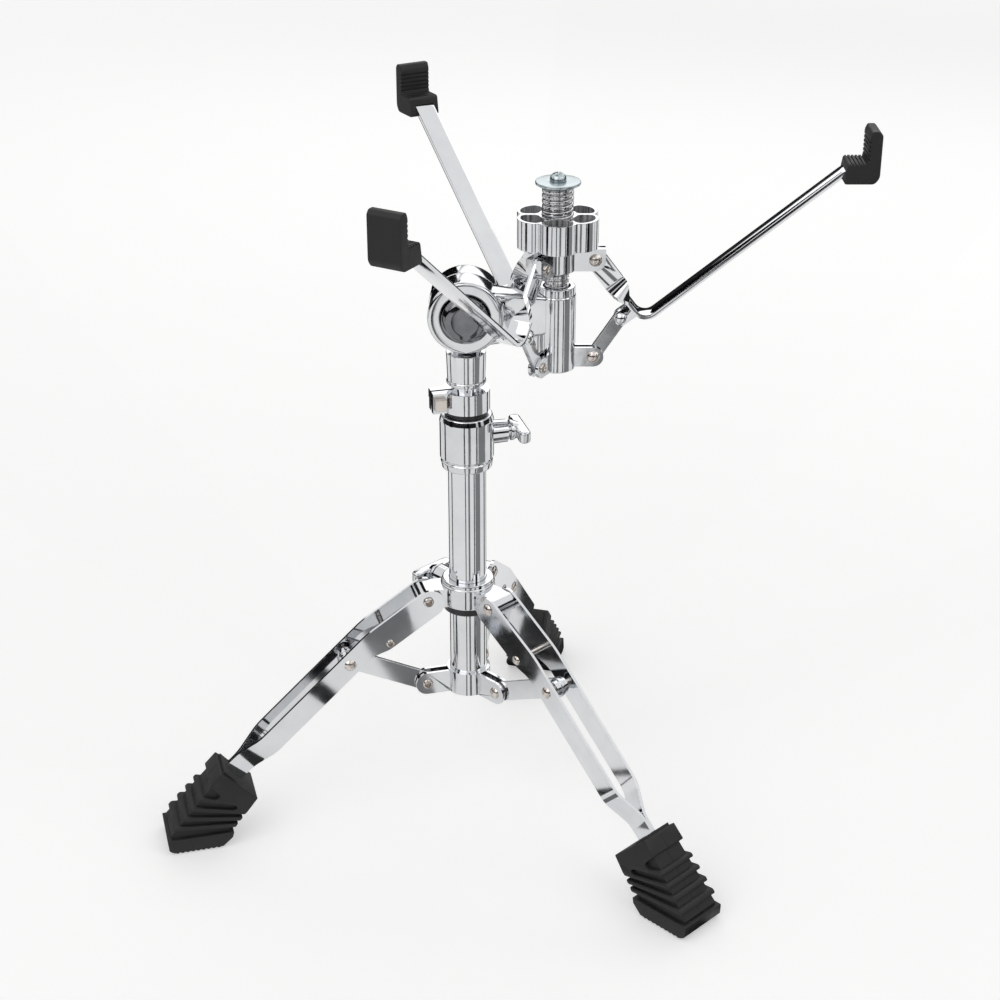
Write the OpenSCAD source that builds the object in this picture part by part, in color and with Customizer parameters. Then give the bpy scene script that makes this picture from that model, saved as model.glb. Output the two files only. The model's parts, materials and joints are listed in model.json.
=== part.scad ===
// Snare drum stand: a folding tripod, a telescoping tube, a tilter and a three-arm basket.
// The origin is on the floor, on the axis of the tubes. +X points from the tubes to the basket.

/* [Base tube and leg fold] */
// Outer diameter of the base tube
base_tube_d = 25.4; // [22:0.1:30]
// Wall of the base tube
base_tube_wall = 1.5; // [1:0.1:2.5]
// Height of the base tube's lower end above the floor
base_tube_bottom = 92; // [85:1:100]
// Height of the base tube's upper end above the floor
base_tube_top = 300; // [290:1:340]
// Height of the spider's pivots above the floor
spider_pivot_z = 100; // [98:0.5:103]
// Height of the leg collar's pivots above the floor
collar_pivot_z = 168; // [164:0.5:172]
// Distance of both rows of pivots from the tube axis
leg_pivot_r = 30; // [29:0.5:34]
// Direction of the first leg
first_leg_azimuth = -45; // [-90:1:90]

/* [Legs] */
// Thickness of the leg bars and the spider's ears
strap_t = 2; // [1.5:0.1:2.5]
// Width of a leg bar below its kink
leg_bar_w = 15.5; // [14:0.5:17]
// Extra width of a leg bar above its shoulder
leg_shoulder = 4.5; // [2:0.5:6]
// Distance between the middles of a leg's two bars
leg_bar_spacing = 19.4; // [19:0.1:22]
// Slope of the leg above its kink
leg_upper_slope = 33.7; // [31:0.1:36]
// Slope of the leg below its kink
leg_lower_slope = 43.2; // [42:0.1:44]
// Length from the collar pivot to the kink
leg_upper_len = 46; // [42:1:50]
// Length from the kink to the link pivot
leg_link_at = 23; // [20:0.5:26]
// Length from the kink to where the bars start to close
leg_pinch_at = 104; // [95:1:108]
// Length over which the bars close
leg_pinch_len = 20; // [16:1:24]
// Width of a link
link_w = 14; // [12:0.5:15]
// Thickness of a link
link_t = 2.5; // [2:0.1:3]
// Radius of the leg rivets
rivet_r = 2.5; // [2:0.1:3]

/* [Feet] */
// Width of a foot across the leg
foot_w = 38; // [34:1:42]
// Width of a foot's top block across the leg
foot_top_w = 29; // [27:1:33]
// Length of a foot's flat sole
foot_sole_len = 40; // [36:1:44]
// Height of a foot at its outer edge
foot_h = 57.5; // [54:0.5:60]
// Number of fins on a foot
foot_fins = 5; // [3:1:6]

/* [Height and tilt] */
// Outer diameter of the upper tube
upper_tube_d = 19.05; // [17:0.05:20]
// Height of the upper tube's lower end
upper_tube_bottom = 115; // [105:1:130]
// Height of the tilter's axis above the base tube
tilter_rise = 72; // [68:1:80]
// Radius of the two tilter halves
tilter_r = 24; // [22:0.5:26]
// Thickness of the rear tilter half
tilter_rear_t = 17; // [15:0.5:19]
// Thickness of the front tilter half
tilter_front_t = 19.5; // [17:0.5:21]
// Distance from the tube axis to the basket axis
basket_x = 58; // [56:1:64]

/* [Basket] */
// Height of the basket collar's pivots above the tilter's axis
basket_rise = 34; // [32:1:38]
// Distance of the basket pivots from the basket axis
basket_pivot_r = 24; // [23:0.5:27]
// Outer diameter of the post's thread
thread_d = 20; // [18:0.5:21]
// Pitch of the post's thread
thread_pitch = 3.5; // [3:0.1:4]
// Outer diameter of the six-lobed nut
nut_d = 55; // [50:1:60]
// Height of the six-lobed nut
nut_h = 19; // [16:1:22]
// Width of an arm's steel strip
arm_w = 13.6; // [12:0.2:15]
// Thickness of an arm's steel strip
arm_t = 3; // [2.5:0.1:3.1]
// Downward slope of an arm at its pivot
arm_drop = 53; // [50:1:56]
// Upward slope of an arm's long part
arm_rise = 39; // [36:1:42]
// Radius of the drum hoop that the grips hold
hoop_r = 189; // [180:1:196]
// Height of the arms' ends above the basket pivots
seat_rise = 57; // [54:1:62]

/* [Fits] */
// Radial clearance of a shaft or rivet that turns in a hole
running = 0.05; // [0.03:0.01:0.08]
// Gap between faces that pass each other
gap = 0.3; // [0.2:0.05:0.4]

/* [Hidden] */
$fn = 48;
eps = 0.5;
// Round ends and twists stand this much proud of straight sides, so that they cross cleanly
seam = 0.02;
leg_count = 3;
leg_names = ["1", "2", "3"];

base_tube_r = base_tube_d / 2;
base_tube_ri = base_tube_r - base_tube_wall;
upper_tube_r = upper_tube_d / 2;
upper_tube_wall = 1.5;
thread_r = thread_d / 2;
thread_root_r = thread_r - 1.3;
bar_y = leg_bar_spacing / 2;
bar_gap = leg_bar_spacing / 2 - strap_t / 2;
rivet_head_r = 1.65 * rivet_r;
rivet_head_h = 2;

// Spider
spider_h = 17;
spider_r = 15;
spider_bottom = base_tube_bottom;
spider_ear_r = 8.25;
washer_t = 0.8;
washer_r = 6.5;
spider_slot = link_t + 2 * washer_t + 2 * gap;

// Leg, in its own upright plane: x is the distance from the tube axis, y the height
function along(slope) = [cos(slope), -sin(slope)];
function above(slope) = [sin(slope), cos(slope)];
leg_p = [leg_pivot_r, collar_pivot_z];
leg_k = leg_p + leg_upper_len * along(leg_upper_slope);
leg_j = leg_k + leg_link_at * along(leg_lower_slope);
link_h = [leg_pivot_r, spider_pivot_z];
bar_top = leg_bar_w / 2;
shoulder_at = leg_upper_len - 5;
shoulder_taper = 8;
pinch_shift = 0.4 * strap_t;
stay_rivet = leg_p + (shoulder_at - 3) * along(leg_upper_slope) - (bar_top + 0.6) * above(leg_upper_slope);
leg_foot_at = leg_pinch_at + leg_pinch_len + 10;
leg_end_at = leg_foot_at + 36;
link_boss_r = 6;
link_boss_half = 5;

// Foot, in the same upright plane
foot_entry = leg_k + leg_foot_at * along(leg_lower_slope);
foot_inner_h = 34.5;
foot_outer_top = [foot_entry[0] + 12, foot_h];
foot_inner_top = [foot_entry[0] - 12, foot_inner_h];
sole_outer = foot_outer_top[0] + 40;
sole_inner = sole_outer - foot_sole_len - 5;
sole_band = 11;
sole_teeth = 9;
tooth_depth = 1.2;
fin_t = 2.4;
fin_depth = 3;

// Leg collar
ring_r = 17;
ring_bottom = collar_pivot_z - 12.5;
ring_h = 5.5;
leg_collar_r = 18.5;
leg_collar_top = collar_pivot_z + 11;
leg_lug_half = bar_gap - gap;
leg_bolt_azimuth = first_leg_azimuth + 180;
leg_bolt_z = collar_pivot_z + 1;

// Height clamp, memory lock and bushing
clamp_r = 18;
clamp_bottom = base_tube_top - 38;
clamp_bolt_z = base_tube_top - 16;
clamp_bolt_azimuth = first_leg_azimuth + 60;
bushing_flange = 3;
bushing_h = 34;
lock_bottom = base_tube_top + bushing_flange + gap;
lock_h = 14;
lock_r = 15.5;
lock_screw_azimuth = clamp_bolt_azimuth + 180;
lock_screw_at = [lock_r + 3.5, lock_bottom + lock_h / 2];

// Wing bolts
bolt_r = 4;
bolt_boss_r = 8;
bolt_boss_end = 27;
wing_half = 17;
wing_t = 8;

// Tilter
tilter_z = base_tube_top + tilter_rise;
socket_r = 13;
socket_bottom = lock_bottom + lock_h + 4;
socket_top = tilter_z - tilter_r - 5;
tilter_bolt_r = 4;
tilter_washer_t = 1.5;
tilter_nut_y = tilter_rear_t + tilter_washer_t + gap;
cap_t = 4;

// Basket, in the upright plane of an arm: x is the distance from the basket axis, y the height
basket_pivot_z = tilter_z + basket_rise;
arm_p = [basket_pivot_r, basket_pivot_z];
strut_drop = 66;
strut_h = [basket_pivot_r, basket_pivot_z - strut_drop];
flat_len = 20;
twist_len = 16;
lug_at = flat_len + twist_len + 6;
lug_offset = 10;
strut_j = arm_p + lug_at * along(arm_drop) - lug_offset * above(arm_drop);
arm_low = arm_p + (lug_at + 10) * along(arm_drop);
arm_seat = [hoop_r - 17, basket_pivot_z + seat_rise];
arm_rise_len = (arm_seat[1] - arm_low[1]) / sin(arm_rise);
arm_knee = [arm_low[0] + arm_rise_len * cos(arm_rise), arm_seat[1]];
arm_end = [hoop_r + 3.5, arm_seat[1]];
arm_lip = [hoop_r + 3.5, arm_seat[1] + 22];
strut_w = 9;
strut_t = 3;
lug_gap = 2.5;
lug_wall = 2;
collar_h = 14.6;
basket_collar_r = 12;
collar_bottom = basket_pivot_z - collar_h / 2;
collar_ear_half = 5.5;
collar_ear_end = 30.6;
collar_slot = arm_t + 0.2;
collar_drop = 10.5;
post_r = 7.8;
post_shoulder = basket_pivot_z + collar_h / 2;
post_top = basket_pivot_z + 48;
hub_r = 12.3;
hub_cup_r = 8.7;
hub_top = collar_bottom - collar_drop - gap;
hub_bottom = strut_h[1] - 8;
nut_bottom = post_shoulder + gap;
nut_boss_h = 2;
nut_wall = 2.3;
nut_core_r = 12.3;
nut_web = 3;
nut_lobe_r = 10;
screw_r = 2.6;
post_washer_r = 14.25;
post_washer_t = 2;

// Stands a flat outline up in the plane of the height, t thick, with its middle at y
module upright(t, y = 0) {
    translate([0, y + t / 2, 0]) rotate([90, 0, 0]) linear_extrude(t) children();
}

// Turns a leg's plane to the direction of leg i
module at_leg(i) rotate([0, 0, first_leg_azimuth + 120 * i]) children();

// Moves to the basket axis and turns to the direction of arm i
module at_arm(i) translate([basket_x, 0, 0]) rotate([0, 0, 120 * i]) children();

// Round end of a strap, lug or ear
module round_end(r) circle(r + seam);

// Flat strap outline with round ends between two points
module strap(from, to, w) {
    run = to - from;
    translate(from) rotate(atan2(run[1], run[0])) translate([0, -w / 2]) square([norm(run), w]);
    translate(from) round_end(w / 2);
    translate(to) round_end(w / 2);
}

// Cross rod along the plane's normal, from y0 to y1, at a point of the plane
module cross_rod(at, r, y0, y1) {
    translate([at[0], y1, at[1]]) rotate([90, 0, 0]) cylinder(h = y1 - y0, r = r);
}

// Dome head on a rivet, its flat side at y and its crown on the side of way
module dome_head(at, r, h, y, way) {
    dome_r = (r * r + h * h) / (2 * h);
    translate([at[0], y, at[1]]) rotate([way > 0 ? -90 : 90, 0, 0])
        rotate_extrude() intersection() {
            translate([0, h - dome_r]) circle(dome_r);
            square([r, h]);
        }
}

// Rivet through the plane between two faces, a dome on one side and a rolled end on the other
module rivet(at, r, y0, y1) {
    cross_rod(at, r, y0, y1);
    dome_head(at, 1.65 * r, 0.8 * r, y0, -1);
    difference() {
        cross_rod(at, 1.4 * r, y1, y1 + 0.5 * r);
        cross_rod(at, 0.6 * r, y1 - r, y1 + r);
    }
}

// T-shaped wing bolt on the X axis, its tip at x0 and its wing's root at x1
module wing_bolt(x0, x1) {
    rotate([0, 90, 0]) translate([0, 0, x0]) cylinder(h = x1 - x0 + 1, r = bolt_r);
    rotate([0, 90, 0]) translate([0, 0, x1]) cylinder(h = 6, r1 = 7, r2 = 5);
    translate([x1 + 3, 0, 0]) rotate([90, 0, 0]) translate([0, 0, -wing_t / 2])
        linear_extrude(wing_t) {
            translate([4, 0]) square([8, 2 * wing_half - 8], center = true);
            translate([4, wing_half - 4]) round_end(4);
            translate([4, 4 - wing_half]) round_end(4);
        }
}

module base_tube() {
    color("silver") difference() {
        translate([0, 0, base_tube_bottom])
            cylinder(h = base_tube_top - base_tube_bottom, r = base_tube_r);
        translate([0, 0, base_tube_bottom - 1])
            cylinder(h = base_tube_top - base_tube_bottom + 2, r = base_tube_ri);
        rotate([0, 0, clamp_bolt_azimuth]) translate([0, 0, clamp_bolt_z]) rotate([0, 90, 0])
            cylinder(h = base_tube_r + 1, r = bolt_r + gap);
    }
}

module leg_spider() {
    color("silver") difference() {
        union() {
            translate([0, 0, spider_bottom]) cylinder(h = spider_h, r = spider_r);
            for (i = [0 : leg_count - 1], side = [-1, 1]) at_leg(i)
                upright(strap_t, side * (spider_slot + strap_t) / 2) {
                    translate(link_h) round_end(spider_ear_r);
                    translate([spider_r - 3, link_h[1] - spider_ear_r])
                        square([leg_pivot_r - spider_r + 3, 2 * spider_ear_r]);
                }
        }
        translate([0, 0, spider_bottom - 1]) cylinder(h = spider_h + 2, r = base_tube_r);
        for (i = [0 : leg_count - 1]) at_leg(i) cross_rod(link_h, rivet_r, -10, 10);
    }
}

module spider_rivets() {
    face = spider_slot / 2 + strap_t;
    color("gainsboro") for (i = [0 : leg_count - 1]) at_leg(i) {
        rivet(link_h, rivet_r, -face, face);
        for (side = [-1, 1]) {
            outer = side * spider_slot / 2;
            inner = side * (spider_slot / 2 - washer_t);
            cross_rod(link_h, washer_r, min(outer, inner), max(outer, inner));
        }
    }
}

module height_clamp() {
    color("silver") difference() {
        union() {
            translate([0, 0, clamp_bottom])
                cylinder(h = base_tube_top - clamp_bottom, r = clamp_r);
            rotate([0, 0, clamp_bolt_azimuth]) translate([base_tube_r, 0, clamp_bolt_z])
                rotate([0, 90, 0]) cylinder(h = bolt_boss_end - base_tube_r, r = bolt_boss_r);
        }
        translate([0, 0, clamp_bottom - 1])
            cylinder(h = base_tube_top - clamp_bottom + 2, r = base_tube_r);
        rotate([0, 0, clamp_bolt_azimuth]) translate([0, 0, clamp_bolt_z]) rotate([0, 90, 0])
            cylinder(h = bolt_boss_end + 1, r = bolt_r + running);
    }
}

module height_bushing() {
    color("dimgray") difference() {
        union() {
            translate([0, 0, base_tube_top - bushing_h]) cylinder(h = bushing_h, r = base_tube_ri);
            translate([0, 0, base_tube_top]) cylinder(h = bushing_flange, r = base_tube_r + 1.5);
        }
        translate([0, 0, base_tube_top - bushing_h - 1])
            cylinder(h = bushing_h + bushing_flange + 2, r = upper_tube_r + running);
    }
}

module leg_collar() {
    lug_low = ring_bottom + ring_h;
    color("silver") difference() {
        union() {
            translate([0, 0, ring_bottom + ring_h])
                cylinder(h = leg_collar_top - ring_bottom - ring_h, r = leg_collar_r);
            for (i = [0 : leg_count - 1]) at_leg(i) upright(2 * leg_lug_half) {
                translate(leg_p) round_end(collar_pivot_z - lug_low);
                translate([base_tube_r + 1, lug_low])
                    square([leg_pivot_r - base_tube_r - 1, 2 * (collar_pivot_z - lug_low)]);
            }
            rotate([0, 0, leg_bolt_azimuth]) translate([base_tube_r + 1, 0, leg_bolt_z])
                rotate([0, 90, 0]) cylinder(h = bolt_boss_end - base_tube_r - 1, r = bolt_boss_r);
        }
        translate([0, 0, ring_bottom]) cylinder(h = 40, r = base_tube_r + gap);
        rotate([0, 0, leg_bolt_azimuth]) translate([0, 0, leg_bolt_z]) rotate([0, 90, 0])
            cylinder(h = bolt_boss_end + 1, r = bolt_r + running);
        for (i = [0 : leg_count - 1]) at_leg(i) cross_rod(leg_p, rivet_r, -12, 12);
    }
}

module collar_ring() {
    color("black") difference() {
        translate([0, 0, ring_bottom]) cylinder(h = ring_h, r = ring_r);
        translate([0, 0, ring_bottom - 1]) cylinder(h = ring_h + 2, r = base_tube_r + running);
    }
}

module leg_collar_rivets() {
    face = bar_y + strap_t / 2 + gap;
    color("gainsboro") for (i = [0 : leg_count - 1]) at_leg(i) rivet(leg_p, rivet_r, -face, face);
}

module leg_wing_bolt() {
    color("silver") rotate([0, 0, leg_bolt_azimuth]) translate([0, 0, leg_bolt_z])
        wing_bolt(base_tube_r + gap, bolt_boss_end + 2);
}

module height_wing_bolt() {
    color("silver") rotate([0, 0, clamp_bolt_azimuth]) translate([0, 0, clamp_bolt_z])
        wing_bolt(base_tube_ri + gap, bolt_boss_end + 2);
}

// One bar of a leg in the leg's plane, side is 1 or -1: its side outline, cut to its outline from above
module leg_bar(side) {
    a = leg_upper_slope;
    b = leg_lower_slope;
    wide = bar_top + leg_shoulder;
    corner = bar_top / cos((b - a) / 2) * above((a + b) / 2);
    bar_end = leg_k + leg_end_at * along(b);
    difference() {
        intersection() {
            union() {
                upright(4 * bar_y) translate(leg_p - leg_shoulder / 2 * above(a))
                    round_end((bar_top + wide) / 2);
                upright(4 * bar_y) polygon([
                    leg_p + bar_top * above(a),
                    leg_k + corner,
                    bar_end + bar_top * above(b),
                    bar_end - bar_top * above(b),
                    leg_k + shoulder_taper * along(b) - bar_top * above(b),
                    leg_p + shoulder_at * along(a) - wide * above(a),
                    leg_p - wide * above(a)
                ]);
            }
            translate([leg_k[0], 0, leg_k[1]]) rotate([0, b, 0])
                linear_extrude(4 * leg_upper_len, center = true) polygon([
                    [-2 * leg_upper_len, side * (bar_y + strap_t / 2)],
                    [leg_pinch_at, side * (bar_y + strap_t / 2)],
                    [leg_pinch_at + leg_pinch_len, side * strap_t],
                    [leg_end_at + 1, side * strap_t],
                    [leg_end_at + 1, 0],
                    [leg_pinch_at + leg_pinch_len - pinch_shift, 0],
                    [leg_pinch_at - pinch_shift, side * (bar_y - strap_t / 2)],
                    [-2 * leg_upper_len, side * (bar_y - strap_t / 2)]
                ]);
        }
        cross_rod(leg_p, rivet_r + running, -20, 20);
        cross_rod(leg_j, rivet_r, -20, 20);
        cross_rod(stay_rivet, rivet_r * 0.8, -20, 20);
    }
}

module leg_rivets() {
    face = bar_y + strap_t / 2;
    stub = link_boss_half + gap;
    rivet(stay_rivet, rivet_r * 0.8, -face, face);
    dome_head(leg_j, rivet_head_r, rivet_head_h, -face, -1);
    cross_rod(leg_j, rivet_r, -face, -stub);
    cross_rod(leg_j, rivet_r, stub, face);
    dome_head(leg_j, rivet_head_r, rivet_head_h, face, 1);
}

// Outline of a foot from the side, drawn in by inset at the two long sides
module foot_outline(inset = 0) {
    polygon([
        foot_inner_top + [inset, 0],
        foot_outer_top - [inset, 0],
        [sole_outer - inset, sole_band + 2],
        [sole_outer - 1 - inset, 3],
        [sole_outer - 4 - inset, tooth_depth],
        [sole_inner + 7 + inset, tooth_depth],
        [sole_inner + inset, 7],
        [sole_inner - 2 + inset, sole_band + 3]
    ]);
}

// Slice of a foot across the height, share 0 at the sole and 1 at the top face
module foot_slice(share, t, w, inset) {
    low = [sole_inner - 6, sole_band];
    tilt = 43 * share;
    base = [foot_inner_top[0] * share + low[0] * (1 - share),
            foot_inner_top[1] * share + low[1] * (1 - share)];
    intersection() {
        upright(w) foot_outline(inset);
        translate([base[0], 0, base[1]]) rotate([0, -tilt, 0])
            translate([-20, -w / 2, -t]) cube([100, w, t]);
    }
}

module foot() {
    slot_w = 2 * strap_t;
    difference() {
        union() {
            upright(foot_top_w - 2 * fin_depth) foot_outline(fin_depth);
            foot_slice(1, 14, foot_top_w, 0);
            for (k = [1 : foot_fins - 1]) {
                share = k / foot_fins;
                foot_slice(share, fin_t, foot_w - (foot_w - foot_top_w) * share, 0);
            }
            foot_slice(0, sole_band - tooth_depth, foot_w, 0);
            for (k = [0 : sole_teeth - 1])
                translate([sole_inner + 9 + k * (foot_sole_len - 8) / sole_teeth, -foot_w / 2 + 1, 0])
                    cube([2.2, foot_w - 2, tooth_depth + eps]);
        }
        translate([leg_k[0], 0, leg_k[1]]) rotate([0, leg_lower_slope, 0])
            translate([leg_pinch_at, -slot_w / 2, -leg_bar_w / 2])
                cube([leg_end_at - leg_pinch_at, slot_w, leg_bar_w]);
    }
}

module link() {
    difference() {
        union() {
            upright(link_t) strap(link_h, leg_j, link_w);
            cross_rod(leg_j, link_boss_r, -link_boss_half, link_boss_half);
        }
        cross_rod(link_h, rivet_r + running, -10, 10);
        cross_rod(leg_j, rivet_r, -10, 10);
    }
}

module memory_lock() {
    color("silver") difference() {
        union() {
            translate([0, 0, lock_bottom]) cylinder(h = lock_h, r = lock_r);
            rotate([0, 0, lock_screw_azimuth]) translate([0, -6, lock_bottom])
                cube([lock_screw_at[0] + 4.5, 12, lock_h]);
        }
        translate([0, 0, lock_bottom - 1]) cylinder(h = lock_h + 2, r = upper_tube_r + running);
        rotate([0, 0, lock_screw_azimuth]) {
            translate([0, -1, lock_bottom - 1]) cube([2 * lock_r, 2, lock_h + 2]);
            cross_rod(lock_screw_at, 2.5, -7, 7);
        }
    }
}

module memory_lock_screw() {
    at = lock_screw_at;
    color("gainsboro") rotate([0, 0, lock_screw_azimuth]) {
        cross_rod(at, 2.5, -8, 7);
        cross_rod(at, 4, -9, -6);
        translate([at[0] - 3, -15, at[1] - 3]) cube([6, 7, 6]);
        translate([at[0] - 4, 6, at[1] - 4]) cube([8, 4, 8]);
    }
}

module upper_tube() {
    color("silver") difference() {
        translate([0, 0, upper_tube_bottom])
            cylinder(h = socket_top - 4 - upper_tube_bottom, r = upper_tube_r);
        translate([0, 0, upper_tube_bottom - 1])
            cylinder(h = socket_top - upper_tube_bottom, r = upper_tube_r - upper_tube_wall);
    }
}

module tube_end_plug() {
    inner_r = upper_tube_r - upper_tube_wall;
    color("black") {
        translate([0, 0, upper_tube_bottom]) cylinder(h = 12, r = inner_r);
        translate([0, 0, upper_tube_bottom - 2.5]) cylinder(h = 2.5, r = upper_tube_r);
    }
}

module tilter_rear() {
    color("silver") difference() {
        union() {
            cross_rod([0, tilter_z], tilter_r, gap / 2, tilter_rear_t);
            translate([0, 0, socket_bottom]) cylinder(h = socket_top - socket_bottom, r = socket_r);
            translate([-10, 0, socket_bottom + 10]) cube([20, 13, socket_top - socket_bottom - 10]);
            translate([-10, gap / 2, socket_top - 1]) cube([20, 13, 12]);
        }
        translate([0, 0, socket_bottom - 1])
            cylinder(h = socket_top - 4 - socket_bottom + 1, r = upper_tube_r);
        cross_rod([0, tilter_z], tilter_bolt_r, -1, tilter_rear_t + 1);
    }
}

module tilter_bolt() {
    axis = [0, tilter_z];
    color("gainsboro") {
        cross_rod(axis, tilter_bolt_r, -tilter_front_t - gap, tilter_nut_y + 24);
        cross_rod(axis, 7, -tilter_front_t - 3, -tilter_front_t - gap);
    }
}

module tilter_washer() {
    color("gainsboro") difference() {
        cross_rod([0, tilter_z], 10, tilter_rear_t, tilter_rear_t + tilter_washer_t);
        cross_rod([0, tilter_z], tilter_bolt_r, tilter_rear_t - 1, tilter_nut_y + 1);
    }
}

module tilter_wing_nut() {
    wing_y = tilter_nut_y + 4;
    wing_reach = 14.5;
    color("silver") difference() {
        union() {
            cross_rod([0, tilter_z], 8, tilter_nut_y, tilter_nut_y + 14);
            translate([0, wing_y, tilter_z]) rotate([0, 35, 0]) translate([0, 0, -3])
                linear_extrude(6) {
                    translate([-wing_reach, -2]) square([2 * wing_reach, 11]);
                    translate([wing_reach, 3.5]) round_end(5.5);
                    translate([-wing_reach, 3.5]) round_end(5.5);
                }
        }
        cross_rod([0, tilter_z], tilter_bolt_r + running, tilter_nut_y - 1, tilter_nut_y + 30);
    }
}

module tilter_front() {
    face = -gap / 2;
    color("silver") difference() {
        union() {
            cross_rod([0, tilter_z], tilter_r, -tilter_front_t, face);
            intersection() {
                upright(tilter_front_t, -tilter_front_t / 2 + face) polygon([
                    [0, tilter_z - tilter_r + 4], [0, tilter_z + tilter_r - 4],
                    [basket_x, tilter_z + 10], [basket_x, tilter_z - 14]
                ]);
                translate([0, 0, tilter_z - 40]) linear_extrude(80) polygon([
                    [0, face], [0, -tilter_front_t], [20, -tilter_front_t + 1],
                    [basket_x - 12, -11], [basket_x, -9], [basket_x, face]
                ]);
            }
        }
        cross_rod([0, tilter_z], tilter_bolt_r + running, -tilter_front_t - 1, 1);
        translate([basket_x, 0, hub_bottom - 1]) cylinder(h = 80, r = hub_r);
    }
}

module tilter_cap() {
    outer = -tilter_front_t - 3 - gap;
    color("dimgray") difference() {
        translate([0, -tilter_front_t, tilter_z]) rotate([90, 0, 0]) rotate_extrude() polygon([
            [0, 0], [15, 0], [15, 3], [12, cap_t + 2], [0, cap_t + 2.6]
        ]);
        cross_rod([0, tilter_z], 7 + gap, outer, -tilter_front_t + 1);
    }
}

module basket_hub() {
    color("silver") difference() {
        union() {
            translate([basket_x, 0, hub_bottom]) cylinder(h = hub_top - hub_bottom, r = hub_r);
            for (i = [0 : 2], side = [-1, 1]) at_arm(i)
                upright(strap_t, side * (strut_t / 2 + gap / 2 + strap_t / 2)) {
                    translate(strut_h) round_end(6.5);
                    translate([hub_r - 2, strut_h[1] - 6.5]) square([basket_pivot_r - hub_r + 2, 13]);
                }
        }
        translate([basket_x, 0, hub_top - 28]) cylinder(h = 29, r = hub_cup_r);
        translate([basket_x, 0, hub_bottom - 1]) cylinder(h = 80, r = post_r);
        for (i = [0 : 2]) at_arm(i) cross_rod(strut_h, rivet_r, -8, 8);
    }
}

module strut_rivets() {
    face = strut_t / 2 + gap / 2 + strap_t;
    color("gainsboro") for (i = [0 : 2]) at_arm(i) rivet(strut_h, rivet_r, -face, face);
}

module basket_post() {
    turns = floor((post_top - post_shoulder) / thread_pitch);
    color("silver") translate([basket_x, 0, 0]) difference() {
        rotate_extrude() polygon(concat(
            [[0, hub_bottom], [post_r, hub_bottom], [post_r, post_shoulder]],
            [for (k = [0 : turns - 1], p = [[0, 0], [0.35, 1], [0.65, 1]])
                [thread_root_r + p[1] * (thread_r - thread_root_r),
                 post_shoulder + (k + p[0]) * thread_pitch]],
            [[thread_root_r, post_shoulder + turns * thread_pitch], [thread_root_r, post_top], [0, post_top]]
        ));
        translate([0, 0, post_top - 16]) cylinder(h = 17, r = screw_r);
    }
}

module post_washer() {
    color("lightsteelblue") translate([basket_x, 0, post_top]) difference() {
        cylinder(h = post_washer_t, r = post_washer_r);
        translate([0, 0, -1]) cylinder(h = post_washer_t + 2, r = screw_r);
    }
}

module post_screw() {
    head_z = post_top + post_washer_t;
    color("lightsteelblue") translate([basket_x, 0, 0]) difference() {
        union() {
            translate([0, 0, post_top - 14]) cylinder(h = 14 + post_washer_t, r = screw_r);
            translate([0, 0, head_z]) rotate_extrude() polygon([
                [0, 0], [5.2, 0], [5.2, 2.2], [4.4, 4.6], [2.8, 6.2], [0, 6.8]
            ]);
        }
        for (turn = [0, 90]) rotate([0, 0, turn])
            translate([-2.6, -0.5, head_z + 4.2]) cube([5.2, 1, 4]);
    }
}

module basket_collar() {
    top_flat = basket_pivot_z + collar_h / 2;
    color("silver") difference() {
        union() {
            translate([basket_x, 0, collar_bottom]) cylinder(h = collar_h, r = basket_collar_r);
            for (i = [0 : 2]) at_arm(i) upright(2 * collar_ear_half) difference() {
                union() {
                    translate([basket_collar_r - 2, collar_bottom + 7])
                        square([collar_ear_end - basket_collar_r + 2, collar_h - 7]);
                    translate([basket_collar_r - 2, collar_bottom])
                        square([collar_ear_end - basket_collar_r - 5, collar_h - 4]);
                    translate([collar_ear_end - 7, collar_bottom + 7]) round_end(7);
                }
            }
        }
        translate([basket_x, 0, collar_bottom - 1]) cylinder(h = collar_h + 2, r = post_r + running);
        translate([basket_x, 0, collar_bottom + 5.3]) cylinder(h = collar_h, r = thread_r + gap);
        for (i = [0 : 2]) at_arm(i) {
            translate([basket_collar_r + 1.5, -collar_slot / 2, collar_bottom - 1])
                cube([30, collar_slot, top_flat - collar_bottom + 2]);
            cross_rod(arm_p, rivet_r, -10, 10);
        }
    }
}

module arm_rivets() {
    color("gainsboro") for (i = [0 : 2]) at_arm(i)
        rivet(arm_p, rivet_r, -collar_ear_half, collar_ear_half);
}

module basket_nut() {
    lobe_at = nut_d / 2 - nut_lobe_r;
    body_z = nut_bottom + nut_boss_h;
    color("silver") translate([basket_x, 0, 0]) difference() {
        union() {
            translate([0, 0, nut_bottom]) cylinder(h = nut_boss_h + nut_h, r = nut_core_r);
            difference() {
                translate([0, 0, body_z]) linear_extrude(nut_h) {
                    for (k = [0 : 5]) rotate(30 + 60 * k) translate([lobe_at, 0]) circle(nut_lobe_r);
                    circle(lobe_at + 6.2);
                }
                translate([0, 0, body_z + nut_wall]) linear_extrude(nut_h) {
                    for (k = [0 : 5]) rotate(30 + 60 * k)
                        translate([lobe_at, 0]) circle(nut_lobe_r - nut_wall);
                    circle(lobe_at + 6.2 - nut_wall);
                }
            }
            for (k = [0 : 5]) rotate([0, 0, 60 * k])
                translate([nut_core_r - 1, -nut_web / 2, body_z])
                    cube([lobe_at + 5.5 - nut_core_r, nut_web, nut_h]);
        }
        translate([0, 0, nut_bottom - 1]) cylinder(h = nut_h + nut_boss_h + 2, r = thread_r + running);
    }
}

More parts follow.
